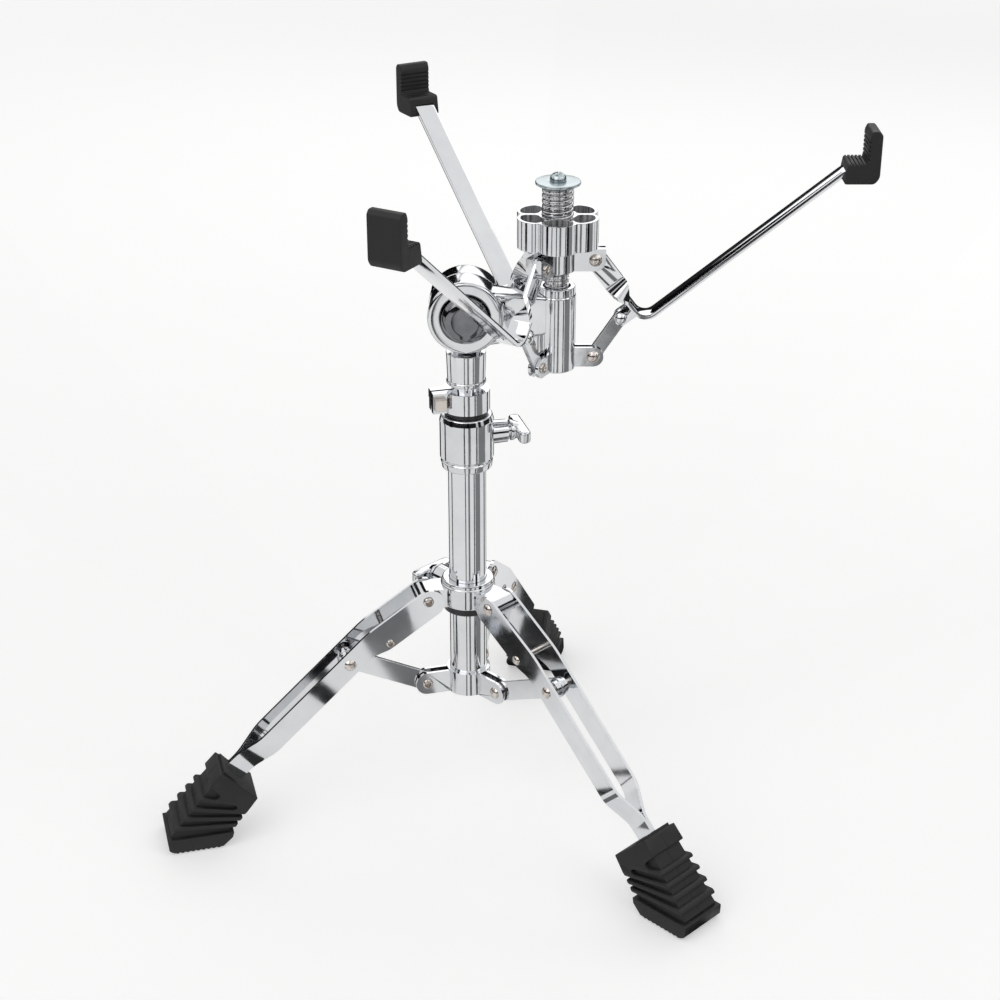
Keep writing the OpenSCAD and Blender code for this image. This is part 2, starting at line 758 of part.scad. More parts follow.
module arm() {
    twist_at = arm_p + (flat_len - eps) * along(arm_drop);
    after_twist = arm_p + (flat_len + twist_len) * along(arm_drop);
    difference() {
        union() {
            upright(arm_t) {
                translate(arm_p) round_end(arm_w / 2);
                translate(arm_p) rotate(-arm_drop) translate([0, -arm_w / 2]) square([flat_len, arm_w]);
            }
            translate([twist_at[0], 0, twist_at[1]]) rotate([0, 90 + arm_drop, 0])
                linear_extrude(twist_len + 2 * eps, twist = 90, slices = 10, $fn = 4)
                    square([arm_w + 2 * seam, arm_t + 2 * seam], center = true);
            upright(arm_w) {
                translate(after_twist) rotate(-arm_drop) translate([0, -arm_t / 2])
                    square([lug_at + 10 - flat_len - twist_len, arm_t]);
                strap(arm_low, arm_knee, arm_t);
                strap(arm_knee, arm_end, arm_t);
                strap(arm_end, arm_lip, arm_t);
            }
        }
        cross_rod(arm_p, rivet_r + running, -10, 10);
    }
}

module arm_lug() {
    a = arm_drop;
    foot_at = arm_p + lug_at * along(a) - arm_t / 2 * above(a);
    for (side = [-1, 1]) upright(lug_wall, side * (lug_gap + lug_wall / 2)) {
        translate(strut_j) round_end(4.5);
        polygon([
            strut_j + 4.5 * along(a), strut_j - 4.5 * along(a),
            foot_at - 4.5 * along(a), foot_at + 4.5 * along(a)
        ]);
    }
    upright(2 * (lug_gap + lug_wall)) polygon([
        foot_at - 4.5 * along(a), foot_at + 4.5 * along(a),
        foot_at + 4.5 * along(a) - 1.5 * above(a), foot_at - 4.5 * along(a) - 1.5 * above(a)
    ]);
    for (side = [-1, 1]) {
        inner = side * (strut_t / 2 + gap);
        outer = side * (lug_gap + lug_wall);
        cross_rod(strut_j, rivet_r * 0.9, min(inner, outer), max(inner, outer));
        dome_head(strut_j, 3.8, 1.8, outer, side);
    }
}

module arm_grip() {
    wrap = 4.5;
    w = arm_w + 8;
    difference() {
        upright(w) {
            polygon([
                [arm_knee[0] - 2, arm_knee[1] - wrap - 2],
                [arm_end[0] + wrap - 3, arm_end[1] - wrap - 2],
                [arm_end[0] + wrap, arm_end[1] - wrap + 2],
                [arm_lip[0] + wrap, arm_lip[1] + 2],
                [arm_lip[0] + wrap - 2, arm_lip[1] + wrap],
                [arm_lip[0] - 2, arm_lip[1] + wrap],
                [hoop_r, arm_lip[1] + 1],
                [hoop_r, arm_end[1] + wrap + 2],
                [arm_knee[0], arm_knee[1] + wrap + 2]
            ]);
        }
        upright(arm_w) {
            strap(arm_low, arm_knee, arm_t);
            strap(arm_knee, arm_end, arm_t);
            strap(arm_end, arm_lip, arm_t);
        }
    }
}

module strut() {
    difference() {
        upright(strut_t) strap(strut_h, strut_j, strut_w);
        cross_rod(strut_h, rivet_r + running, -10, 10);
        cross_rod(strut_j, rivet_r, -10, 10);
    }
}

base_tube();
leg_spider();
spider_rivets();
height_clamp();
height_bushing();
leg_collar();
collar_ring();
leg_collar_rivets();
leg_wing_bolt();
height_wing_bolt();
for (i = [0 : leg_count - 1]) {
    n = leg_names[i];
    color("silver") at_leg(i) leg_bar(1);
    color("silver") at_leg(i) leg_bar(-1);
    color("gainsboro") at_leg(i) leg_rivets();
    color("black") at_leg(i) foot();
    color("silver") at_leg(i) link();
}
memory_lock();
memory_lock_screw();
upper_tube();
tube_end_plug();
tilter_rear();
tilter_bolt();
tilter_washer();
tilter_wing_nut();
tilter_front();
tilter_cap();
basket_hub();
strut_rivets();
basket_post();
post_washer();
post_screw();
basket_collar();
arm_rivets();
basket_nut();
for (i = [0 : 2]) {
    n = leg_names[i];
    color("silver") at_arm(i) arm();
    color("silver") at_arm(i) arm_lug();
    color("black") at_arm(i) arm_grip();
    color("silver") at_arm(i) strut();
}
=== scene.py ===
# Chrome snare drum stand: folding tripod, telescoping tube, tilter and three-arm basket.
import json
import math

import bpy
from mathutils import Matrix, Vector


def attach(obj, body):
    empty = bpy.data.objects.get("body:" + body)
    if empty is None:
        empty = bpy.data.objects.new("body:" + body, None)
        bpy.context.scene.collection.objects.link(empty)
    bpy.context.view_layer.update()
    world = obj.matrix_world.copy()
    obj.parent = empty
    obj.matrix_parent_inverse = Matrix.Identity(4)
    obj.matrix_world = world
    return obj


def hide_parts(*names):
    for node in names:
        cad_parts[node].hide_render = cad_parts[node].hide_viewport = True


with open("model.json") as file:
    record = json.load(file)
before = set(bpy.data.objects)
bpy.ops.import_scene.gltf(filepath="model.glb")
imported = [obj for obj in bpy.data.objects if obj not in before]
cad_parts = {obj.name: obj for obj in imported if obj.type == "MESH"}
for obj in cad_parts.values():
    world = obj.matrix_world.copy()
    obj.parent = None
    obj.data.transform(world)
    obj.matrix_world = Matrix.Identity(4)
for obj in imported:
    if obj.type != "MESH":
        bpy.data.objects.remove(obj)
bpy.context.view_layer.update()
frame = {"nodes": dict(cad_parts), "record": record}
mm = 0.001
print("stage: frame loaded")


# colours and nodes

def hexToLinear(code):
    parts = [int(code[i:i + 2], 16) / 255 for i in (1, 3, 5)]
    return [c / 12.92 if c <= 0.04045 else ((c + 0.055) / 1.055) ** 2.4 for c in parts] + [1.0]


# Settings go to the sockets of that name, or else to the node itself
def addNode(tree, kind, settings=None, links=None):
    node = tree.nodes.new(kind)
    for name, value in (settings or {}).items():
        if name in node.inputs:
            node.inputs[name].default_value = value
        else:
            setattr(node, name, value)
    for name, socket in (links or {}).items():
        tree.links.new(socket, node.inputs[name])
    return node


def newMaterial(name, settings):
    material = bpy.data.materials.new(name)
    material.use_nodes = True
    tree = material.node_tree
    tree.nodes.clear()
    shader = addNode(tree, "ShaderNodeBsdfPrincipled", settings)
    output = addNode(tree, "ShaderNodeOutputMaterial", links={"Surface": shader.outputs["BSDF"]})
    place = addNode(tree, "ShaderNodeTexCoord")
    return material, tree, shader, place.outputs["Object"], output


# Noise as (detail, roughness), and the part of its range over which colour and roughness blend
platedNoise = {"patch": (4.0, 0.6), "wave": (1.0, 0.4), "grain": (2.0, 0.5),
               "colourBlend": (0.35, 0.65), "roughBlend": (0.35, 0.7)}
mouldedNoise = {"patch": (5.0, 0.65), "grain": (3.0, 0.6),
                "colourBlend": (0.3, 0.75), "roughBlend": (0.3, 0.7)}


# Patchy colour and roughness over a fine grain; on metal a slow wave also bends the reflections
def makeFinish(name, look, noise=platedNoise):
    material, tree, shader, place, output = newMaterial(name, look.get("shader", {"Metallic": 1.0}))
    if "stretch" in look:
        place = addNode(tree, "ShaderNodeMapping", {"Scale": (1, 1, look["stretch"])},
                        {"Vector": place}).outputs["Vector"]
    detail, roughness = noise["patch"]
    patch = addNode(tree, "ShaderNodeTexNoise",
                    {"Scale": 1000 / look["patch"], "Detail": detail, "Roughness": roughness},
                    {"Vector": place})
    colour = addNode(tree, "ShaderNodeValToRGB", links={"Fac": patch.outputs["Fac"]})
    for element, at, code in zip(colour.color_ramp.elements, noise["colourBlend"], look["colours"]):
        element.position = at
        element.color = hexToLinear(code)
    (smoothest, roughest), (low, high) = look["rough"], noise["roughBlend"]
    rough = addNode(tree, "ShaderNodeMapRange",
                    {"From Min": low, "From Max": high, "To Min": smoothest, "To Max": roughest},
                    {"Value": patch.outputs["Fac"]})
    relief = {}
    for layer in ("wave", "grain"):
        if layer in look:
            size, strength, depth = look[layer]
            detail, roughness = noise[layer]
            field = addNode(tree, "ShaderNodeTexNoise",
                            {"Scale": 1000 / size, "Detail": detail, "Roughness": roughness},
                            {"Vector": place})
            bump = addNode(tree, "ShaderNodeBump", {"Strength": strength, "Distance": depth * mm},
                           {"Height": field.outputs["Fac"], **relief})
            relief = {"Normal": bump.outputs["Normal"]}
    for socket, source in {"Base Color": colour.outputs["Color"], "Roughness": rough.outputs["Result"],
                           **relief}.items():
        tree.links.new(source, shader.inputs[socket])
    return material


# In each look the patch is a size in mm, and wave and grain are (size mm, strength, depth mm).
# Bright chrome plate on rolled steel strip and tube: a near mirror, faintly wavy, with handling haze
brightChromeLook = {
    "colours": ("#D3D5D8", "#DEDFE1"), "rough": (0.045, 0.11),
    "patch": 34, "wave": (26, 0.22, 0.25), "grain": (1.3, 0.05, 0.02)}
# Chrome plate on a casting: the same mirror over a lumpier skin, so reflections swim more
castChromeLook = {
    "colours": ("#CDCFD2", "#DADBDD"), "rough": (0.05, 0.13),
    "patch": 22, "wave": (9, 0.3, 0.16), "grain": (1.1, 0.08, 0.03)}
# Painted light in the nut's pockets: a half-metallic finish on a pale base lifts the pockets out of their
# shade, its dark and pale streaks stretched along the casting's draw
pocketPaintedLightLook = {
    "shader": {"Metallic": 0.55}, "colours": ("#77797C", "#F4F4F5"), "rough": (0.12, 0.24),
    "patch": 1.7, "stretch": 0.06, "wave": (3, 0.5, 0.2), "grain": (0.9, 0.1, 0.02)}
# Bright steel of the thread, worn to a neutral grey
threadSteelLook = {
    "colours": ("#B4B5B7", "#D2D2D3"), "rough": (0.1, 0.2),
    "patch": 5, "wave": (4, 0.2, 0.05), "grain": (0.6, 0.2, 0.02)}
# Nickel-plated rivet steel: warmer and a little satin
rivetSteelLook = {
    "colours": ("#C6BDB6", "#D8D2CC"), "rough": (0.14, 0.26),
    "patch": 6, "wave": (3, 0.2, 0.06), "grain": (0.6, 0.15, 0.02)}
# Clear zinc plate: pale, bluish and softly clouded
zincPlateLook = {
    "colours": ("#A9B4B9", "#C1C9CB"), "rough": (0.2, 0.36),
    "patch": 9, "wave": (5, 0.15, 0.05), "grain": (0.7, 0.25, 0.02)}
# Dark bright plate on the tilter's cap
darkChromeLook = {
    "colours": ("#6D6E71", "#808184"), "rough": (0.07, 0.14),
    "patch": 14, "wave": (10, 0.15, 0.1), "grain": (1.0, 0.05, 0.02)}
# Moulded black rubber: matte, with a fine mould grain and a trace of dust
blackRubberLook = {
    "shader": {"IOR": 1.5}, "colours": ("#131313", "#222222"), "rough": (0.5, 0.7),
    "patch": 12, "grain": (0.8, 0.35, 0.05)}
# Moulded black nylon: smoother than the rubber, with a soft sheen
blackNylonLook = {
    "shader": {"IOR": 1.53}, "colours": ("#0E0E0F", "#18181A"), "rough": (0.3, 0.42),
    "patch": 15, "grain": (0.9, 0.12, 0.02)}

finishes = {
    "bright_chrome": makeFinish("brightChromePlate", brightChromeLook),
    "cast_chrome": makeFinish("castChromePlate", castChromeLook),
    "rivet_steel": makeFinish("nickelRivetSteel", rivetSteelLook),
    "zinc_steel": makeFinish("clearZincPlate", zincPlateLook),
    "dark_chrome": makeFinish("darkBrightPlate", darkChromeLook),
    "black_rubber": makeFinish("mouldedBlackRubber", blackRubberLook, mouldedNoise),
    "black_nylon": makeFinish("mouldedBlackNylon", blackNylonLook, mouldedNoise),
}
# the nut's pockets get painted light: a pale, half-metallic finish that lifts them out of their shade
pocketPaintedLight = makeFinish("pocketChromePaintedLight", pocketPaintedLightLook)
threadSteel = makeFinish("threadSteel", threadSteelLook)
slotOf = {part["node"]: part["material_slot"] for part in frame["record"]["subparts"]}
bodyOf = {node: body for body, nodes in frame["record"]["behaviour"]["bodies"].items() for node in nodes}
print("stage: materials made")


# modelling helpers, sizes in mm and angles in degrees

noTurn = Matrix()


# The values under several keys of a look
def pick(look, keys):
    return [look[key] for key in keys.split()]


def turned(angle, axis="Z"):
    return Matrix.Rotation(math.radians(angle), 4, axis)


def moved(x, y, z):
    return Matrix.Translation((x * mm, y * mm, z * mm))


def activate(piece):
    bpy.ops.object.select_all(action="DESELECT")
    piece.select_set(True)
    bpy.context.view_layer.objects.active = piece


def startEdit():
    bpy.ops.object.mode_set(mode="EDIT")
    bpy.ops.mesh.select_all(action="SELECT")


# Turns every face outwards and leaves edit mode
def endEditOutwards():
    bpy.ops.mesh.select_all(action="SELECT")
    bpy.ops.mesh.normals_make_consistent(inside=False)
    bpy.ops.object.mode_set(mode="OBJECT")


def applyModifiers(piece):
    activate(piece)
    for modifier in list(piece.modifiers):
        bpy.ops.object.modifier_apply(modifier=modifier.name)


def bevelEdges(piece, width, segments=2, angle=28):
    bevel = piece.modifiers.new("roundedEdges", "BEVEL")
    bevel.width = width * mm
    bevel.segments = segments
    bevel.limit_method = "ANGLE"
    bevel.angle_limit = math.radians(angle)
    applyModifiers(piece)


def smoothByAngle(piece, angle=32):
    activate(piece)
    bpy.ops.object.shade_smooth_by_angle(angle=math.radians(angle))


weldGap, flatAngle = 0.002, 0.6        # points this close are one, faces this nearly level are one


def cleanMesh(piece):
    activate(piece)
    startEdit()
    bpy.ops.mesh.remove_doubles(threshold=weldGap * mm)
    bpy.ops.mesh.dissolve_limited(angle_limit=math.radians(flatAngle))
    bpy.ops.object.mode_set(mode="OBJECT")


# Gives a piece the finish that the CAD node's slot calls for and the node's body, and hides the node
def finishPiece(piece, node, smooth=None):
    if smooth:
        smoothByAngle(piece, smooth)
    piece.data.materials.clear()
    piece.data.materials.append(finishes[slotOf[node]])
    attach(piece, bodyOf[node])
    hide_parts(node)
    return piece


def turnMesh(piece, turn):
    if turn is not None:
        piece.data.transform(turn)
    return piece


def copyPiece(piece, turn=None):
    activate(piece)
    bpy.ops.object.duplicate()
    return turnMesh(bpy.context.active_object, turn)


# Adds a primitive with nothing else selected, and names it
def addShape(name, adder, **settings):
    bpy.ops.object.select_all(action="DESELECT")
    adder(**settings)
    piece = bpy.context.active_object
    piece.name = name
    return piece


# Round bar, disc or cone along Z, and then turned
def addRound(name, radius, low, high, at=(0, 0), turn=None, segments=96, tipRadius=None):
    size = {"vertices": segments, "depth": (high - low) * mm}
    if tipRadius is None:
        piece = addShape(name, bpy.ops.mesh.primitive_cylinder_add, radius=radius * mm, **size)
    else:
        piece = addShape(name, bpy.ops.mesh.primitive_cone_add, radius1=radius * mm, radius2=tipRadius * mm,
                         **size)
    piece.data.transform(Matrix.Translation(Vector((at[0], at[1], (low + high) / 2)) * mm))
    return turnMesh(piece, turn)


def addBlock(name, low, high, turn=None):
    piece = addShape(name, bpy.ops.mesh.primitive_cube_add, size=1)
    size = [(b - a) * mm for a, b in zip(low, high)]
    centre = Vector([(b + a) / 2 for a, b in zip(low, high)]) * mm
    piece.data.transform(Matrix.Translation(centre) @ Matrix.Diagonal((*size, 1)))
    return turnMesh(piece, turn)


def addRing(name, points, fill="NOTHING"):
    piece = addShape(name, bpy.ops.mesh.primitive_circle_add, vertices=len(points), fill_type=fill, radius=mm)
    for vertex, point in zip(piece.data.vertices, points):
        vertex.co = Vector(point) * mm
    return piece


# Flat outline in the XY plane, drawn as a filled ring and pulled up to its thickness
def addPlate(name, outline, low, high, turn=None):
    piece = addRing(name, [(x, y, low) for x, y in outline], "NGON")
    startEdit()
    bpy.ops.mesh.extrude_region_move(TRANSFORM_OT_translate={"value": (0, 0, (high - low) * mm)})
    endEditOutwards()
    return turnMesh(piece, turn)


# Closed ring of (radius, height) points turned once round Z
def addTurned(name, ring, turn=None, steps=96):
    piece = addRing(name, [(radius, 0, height) for radius, height in ring])
    startEdit()
    bpy.ops.mesh.spin(steps=steps, angle=2 * math.pi, center=(0, 0, 0), axis=(0, 0, 1))
    bpy.ops.mesh.select_all(action="SELECT")
    bpy.ops.mesh.remove_doubles(threshold=weldGap * mm)
    bpy.ops.mesh.delete_loose(use_verts=True, use_edges=True, use_faces=False)
    endEditOutwards()
    return turnMesh(piece, turn)


# Ring of (x, y, corner) points, each corner above zero cut to a short round of that reach
def softRing(points, steps=4):
    ring = []
    for index, (x, y, corner) in enumerate(points):
        here = Vector((x, y))
        before = Vector(points[index - 1][:2])
        after = Vector(points[(index + 1) % len(points)][:2])
        if corner <= 0:
            ring.append((x, y))
            continue
        first = here + (before - here).normalized() * corner
        last = here + (after - here).normalized() * corner
        for k in range(steps + 1):
            t = k / steps
            ring.append(tuple(first.lerp(here, t).lerp(here.lerp(last, t), t)))
    return ring


def arc(centre, radius, start, end, steps):
    angles = [math.radians(start + (end - start) * k / steps) for k in range(steps + 1)]
    return [(centre[0] + radius * math.cos(angle), centre[1] + radius * math.sin(angle)) for angle in angles]


def combine(piece, tools, operation):
    for tool in tools:
        change = piece.modifiers.new("shape", "BOOLEAN")
        change.operation = operation
        change.object = tool
        change.solver = "EXACT"
        applyModifiers(piece)
        bpy.data.objects.remove(tool, do_unlink=True)
    return piece


def joinTo(piece, tools):
    return combine(piece, tools, "UNION")


def cutFrom(piece, tools):
    return combine(piece, tools, "DIFFERENCE")


# Merges, rounds the edges and shades a piece made of joined and cut forms
def dressMetal(piece, width, segments=3, angle=28, smooth=35):
    cleanMesh(piece)
    bevelEdges(piece, width, segments, angle)
    smoothByAngle(piece, smooth)
    weights = piece.modifiers.new("evenShading", "WEIGHTED_NORMAL")
    weights.keep_sharp = True
    applyModifiers(piece)


# A finished piece that is one turned ring
def makeTurned(name, node, points, turn=None, steps=96, rounds=4, smooth=32):
    finishPiece(addTurned(name, softRing(points, rounds), turn, steps), node, smooth)


# A finished piece of forms joined to a body and forms cut from it
def makeDressed(piece, node, joined, cut, width, *dress):
    joinTo(piece, joined)
    cutFrom(piece, cut)
    dressMetal(piece, width, *dress)
    return finishPiece(piece, node)


def gather(pieces, name):
    bpy.ops.object.select_all(action="DESELECT")
    for piece in pieces:
        piece.select_set(True)
    bpy.context.view_layer.objects.active = pieces[0]
    bpy.ops.object.join()
    pieces[0].name = name
    return pieces[0]


# Three legs and three arms stand a third of a turn apart, the arms round an axis of their own
firstLeg = -45
basketX = 58
basketShift = moved(basketX, 0, 0)


def legTurn(index):
    return turned(firstLeg + 120 * index)


def armTurn(index):
    return basketShift @ turned(120 * index)


# A plate drawn as (distance, height) and stood up, from y0 to y1
uprightTurn = turned(90, "X")


def addUpright(name, outline, y0, y1, turn=noTurn):
    return addPlate(name, outline, -y1, -y0, turn @ uprightTurn)


# A round bar across an upright plane, at (distance, height), from y0 to y1
def addCross(name, at, radius, y0, y1, turn=noTurn, segments=64):
    return addRound(name, radius, -y1, -y0, at, turn @ uprightTurn, segments)


# Turns a ring's own Z to +Y or -Y at (distance, height, y)
def acrossAt(at, y, way=1):
    return moved(at[0], y, at[1]) @ turned(-90 * way, "X")


# A bar that points outwards at a height, from the distance low to high
def spokeTurn(azimuth, height):
    return turned(azimuth) @ moved(0, 0, height) @ turned(90, "Y")


def addSpoke(name, radius, low, high, azimuth, height, tipRadius=None):
    return addRound(name, radius, low, high, (0, 0), spokeTurn(azimuth, height), 64, tipRadius)


# Side of an ear: a half round at its pivot that runs in to the distance inner
def earSide(at, radius, inner, steps):
    return arc(at, radius, -90, 90, steps) + [(inner, at[1] + radius), (inner, at[1] - radius)]


# The two cheeks of a clevis, each from gap to gap + thick off its plane
def addCheeks(outline, gap, thick, turn):
    return [addUpright("ear", outline, *sorted((side * gap, side * (gap + thick))), turn) for side in (-1, 1)]


# Flat strap with round ends
def strapSide(start, end, width, steps=24):
    run = end - start
    angle = math.degrees(math.atan2(run.y, run.x))
    return (arc(end, width / 2, angle - 90, angle + 90, steps)
            + arc(start, width / 2, angle + 90, angle + 270, steps))


def along(slope):
    return Vector((math.cos(math.radians(slope)), -math.sin(math.radians(slope))))


def above(slope):
    return Vector((math.sin(math.radians(slope)), math.cos(math.radians(slope))))


# Rivets: a domed head on one side and a rolled hollow end on the other. The end's points, and the head, are
# in shares of the shank's radius
rivetLook = {"radius": 2.5, "hole": 2.55, "head": 1.65, "headHigh": 0.8, "domeSteps": 7,
             "rolled": [(1.38, 0), (1.42, 0.2), (1.3, 0.42), (1.1, 0.5), (0.86, 0.42), (0.7, 0.1),
                        (0.62, -0.5), (0, -0.55)]}


def domeArc(head, high):
    steps = rivetLook["domeSteps"]
    bend = (head * head + high * high) / (2 * high)
    widest = math.asin(min(1.0, head / bend))
    return [(bend * math.sin(widest * k / steps), -(high - bend) - bend * math.cos(widest * k / steps))
            for k in range(steps)] + [(head, 0)]


# Shank along local Z from 0 to length; the dome points to -Z and the rolled or plain end to +Z
def addRivet(radius, length, turn, rolled=True):
    look = rivetLook
    ring = domeArc(look["head"] * radius, look["headHigh"] * radius) + [(radius, 0), (radius, length)]
    if rolled:
        ring += [(x * radius, length + z * radius) for x, z in look["rolled"]]
    else:
        ring.append((0, length))
    rivet = addTurned("rivet", ring, turn, 40)
    smoothByAngle(rivet, 40)
    return rivet


# Rivet through both sides of an upright plane at (distance, height)
def throughRivet(at, face, turn, radius=rivetLook["radius"]):
    return addRivet(radius, 2 * face, turn @ acrossAt(at, -face))


def makeRivets(name, node, at, face, turnOf):
    finishPiece(gather([throughRivet(at, face, turnOf(index)) for index in range(3)], name), node)


def addHole(at, reach, turn=noTurn, radius=rivetLook["hole"]):
    return addCross("hole", at, radius, -reach, reach, turn)


# Tubes and the spider that holds the three links
baseTubeLook = {"outer": 12.7, "inner": 11.2, "low": 92, "high": 300, "edge": 0.4,
                "holeRadius": 4.3, "boltAzimuth": 15, "boltHeight": 284}
boltAt = (baseTubeLook["boltAzimuth"], baseTubeLook["boltHeight"])


def makeBaseTube():
    look = baseTubeLook
    inner, outer, low, high, edge = pick(look, "inner outer low high edge")
    tube = addTurned("baseTube", softRing([(inner, low, edge), (outer, low, edge), (outer, high, edge),
                                           (inner, high, edge)]), steps=128)
    cutFrom(tube, [addSpoke("boltHole", look["holeRadius"], 5, 16, *boltAt)])
    finishPiece(tube, "base_tube", 32)


spiderLook = {"radius": 15, "low": 92, "high": 109, "pivot": (30, 100), "earRadius": 8.25, "earFrom": 11,
              "slot": 4.7, "ear": 2, "bore": 12.72, "edge": 0.45, "washerRadius": 6.5, "washer": 0.8}
legH = Vector(spiderLook["pivot"])


def makeSpider():
    look = spiderLook
    sleeve = addRound("spider", look["radius"], look["low"], look["high"])
    ears, holes = [], [addRound("bore", look["bore"], 80, 120)]
    gap, bore = look["slot"] / 2, rivetLook["radius"]
    for index in range(3):
        side = earSide(legH, look["earRadius"], look["earFrom"], 28)
        ears += addCheeks(side, gap, look["ear"], legTurn(index))
        holes.append(addHole(legH, 12, legTurn(index)))
    makeDressed(sleeve, "leg_spider", ears, holes, look["edge"])
    rivets = []
    for index in range(3):
        rivets.append(throughRivet(legH, gap + look["ear"], legTurn(index)))
        for side in (-1, 1):
            near, far = sorted((side * (gap - 0.02), side * (gap - look["washer"])))
            washer = addTurned("washer", softRing([
                (bore, near, 0), (look["washerRadius"], near, 0.25), (look["washerRadius"], far, 0.25),
                (bore, far, 0)], 2), legTurn(index) @ acrossAt(legH, 0), 48)
            smoothByAngle(washer)
            rivets.append(washer)
    finishPiece(gather(rivets, "spiderRivets"), "spider_rivets")


# Legs: two flat bars that kink at the shoulder and close on each other above the foot
legLook = {"pivot": (30, 168), "kink": 46, "linkAt": 23, "stayAt": (38, 8.35), "thick": 2, "spacing": 19.4,
           "width": 15.5, "shoulder": 4.5, "shoulderAt": 41, "shoulderEnd": 8, "rounds": (6, 4, 2.5),
           "upperSlope": 33.7, "lowerSlope": 43.2, "pinchAt": 104, "pinchLength": 20, "end": 170,
           "seam": 0.03, "edge": 0.5, "bend": 5, "stayRadius": 2, "stayHole": 2.05, "shortRivet": 5.3}
legP = Vector(legLook["pivot"])
legK = legP + legLook["kink"] * along(legLook["upperSlope"])
legJ = legK + legLook["linkAt"] * along(legLook["lowerSlope"])
stayRivet = (legP + legLook["stayAt"][0] * along(legLook["upperSlope"])
             - legLook["stayAt"][1] * above(legLook["upperSlope"]))
legFace = legLook["spacing"] / 2 + legLook["thick"] / 2
kinkTurn = moved(legK.x, 0, legK.y) @ turned(legLook["lowerSlope"], "Y")


def makeLegBar(index, side):
    look = legLook
    a, b = look["upperSlope"], look["lowerSlope"]
    top = look["width"] / 2
    wide = top + look["shoulder"]
    corner = top / math.cos(math.radians((b - a) / 2)) * above((a + b) / 2)
    end = legK + look["end"] * along(b)
    kinkRound, endRound, shoulderRound = look["rounds"]
    sideRing = softRing([
        (*(legP + top * above(a)), 0), (*(legK + corner), kinkRound),
        (*(end + top * above(b)), 0), (*(end - top * above(b)), 0),
        (*(legK + look["shoulderEnd"] * along(b) - top * above(b)), endRound),
        (*(legP + look["shoulderAt"] * along(a) - wide * above(a)), shoulderRound),
        (*(legP - wide * above(a)), 0)])
    sideRing += arc(legP - look["shoulder"] / 2 * above(a), (top + wide) / 2, 270 - a, 90 - a, 24)[1:-1]
    bar = addUpright("legBar", sideRing, -30, 30)
    inner = look["spacing"] / 2 - look["thick"] / 2
    shift = 0.4 * look["thick"]        # the bends' inner sides start a little earlier
    pinch, closed = look["pinchAt"], look["pinchAt"] + look["pinchLength"]
    thick, seam, bend, tip = side * look["thick"], side * look["seam"], look["bend"], look["end"] + 1
    cutter = addPlate("plan", softRing([
        (-100, side * legFace, 0), (pinch, side * legFace, bend), (closed, thick, bend), (tip, thick, 0),
        (tip, seam, 0), (closed - shift, seam, bend), (pinch - shift, side * inner, bend),
        (-100, side * inner, 0)], 6), -120, 120)
    cutter.data.transform(kinkTurn)
    combine(bar, [cutter], "INTERSECT")
    cutFrom(bar, [addHole(legP, 20), addHole(legJ, 20), addHole(stayRivet, 20, noTurn, look["stayHole"])])
    bar.data.transform(legTurn(index))
    dressMetal(bar, look["edge"], 3, 24)
    finishPiece(bar, "leg_%d_%s_bar" % (index + 1, "left" if side < 0 else "right"))


def makeLegRivets(index):
    turn, short = legTurn(index), legFace - legLook["shortRivet"]
    rivets = [throughRivet(stayRivet, legFace, turn, legLook["stayRadius"])]
    rivets += [addRivet(rivetLook["radius"], short, turn @ acrossAt(legJ, -way * legFace, way), False)
               for way in (1, -1)]
    finishPiece(gather(rivets, "leg%dRivets" % (index + 1)), "leg_%d_rivets" % (index + 1))


linkLook = {"width": 14, "thick": 2.5, "bushRadius": 6, "bushHalf": 5, "edge": 0.45}


def makeLink(index):
    look, turn, half = linkLook, legTurn(index), linkLook["thick"] / 2
    link = addUpright("link%d" % (index + 1), strapSide(legH, legJ, look["width"]), -half, half, turn)
    bush = addCross("bush", legJ, look["bushRadius"], -look["bushHalf"], look["bushHalf"], turn)
    makeDressed(link, "link_%d" % (index + 1), [bush], [addHole(legH, 12, turn), addHole(legJ, 12, turn)],
                look["edge"])


makeBaseTube()
makeSpider()
for leg in range(3):
    makeLegBar(leg, -1)
    makeLegBar(leg, 1)
    makeLegRivets(leg)
    makeLink(leg)
print("stage: base, legs and links made")


# Rubber feet: a sloped top block, fins as (share of the outer edge, angle), and a serrated sole.
# The grooves between the first fins end round in the block: (centre, radius, start, end)
footLook = {
    "innerTop": (154, 34.5), "outerTop": (178, 57.5), "soleOuter": 218, "soleInner": 173, "band": 11,
    "soleWidth": 38, "topWidth": 29, "finDepth": 3, "finReach": 62, "fin": 2.9, "blockShare": 0.2,
    "fins": [(0.40, 16), (0.55, 13), (0.70, 9), (0.855, 5)],
    "grooves": [((182, 40.3), 2.3, 133, 286), ((170.6, 29.6), 1.85, 106, 283)],
    "grooveEnds": [(184, 175), (172, 162.4)], "grooveSteps": 5,
    "teeth": 9, "teethFrom": 10.1, "teethOver": 32, "tooth": 1.2, "toothRadius": 1.4, "toothInset": 1.2,
    "edge": 0.7, "finEdge": 1.1, "mouldLine": 0.16, "slotHalf": (2.02, 7.8),
}


def footSide(inset):
    look = footLook
    (topX, topZ), (outerX, outerZ) = look["innerTop"], look["outerTop"]
    tooth, band, inner, outer = pick(look, "tooth band soleInner soleOuter")
    return [(topX + inset, topZ), (outerX - inset, outerZ), (outer - inset, band + 2), (outer - 1 - inset, 3),
            (outer - 4 - inset, tooth), (inner + 7 + inset, tooth), (inner + inset, 7),
            (inner - 2 + inset, band + 3)]


# Point on the foot's outer edge, share 0 at its top and 1 at its sole band
def footEdge(share):
    low = Vector((footLook["soleOuter"], footLook["band"] + 2))
    return Vector(footLook["outerTop"]) * (1 - share) + low * share


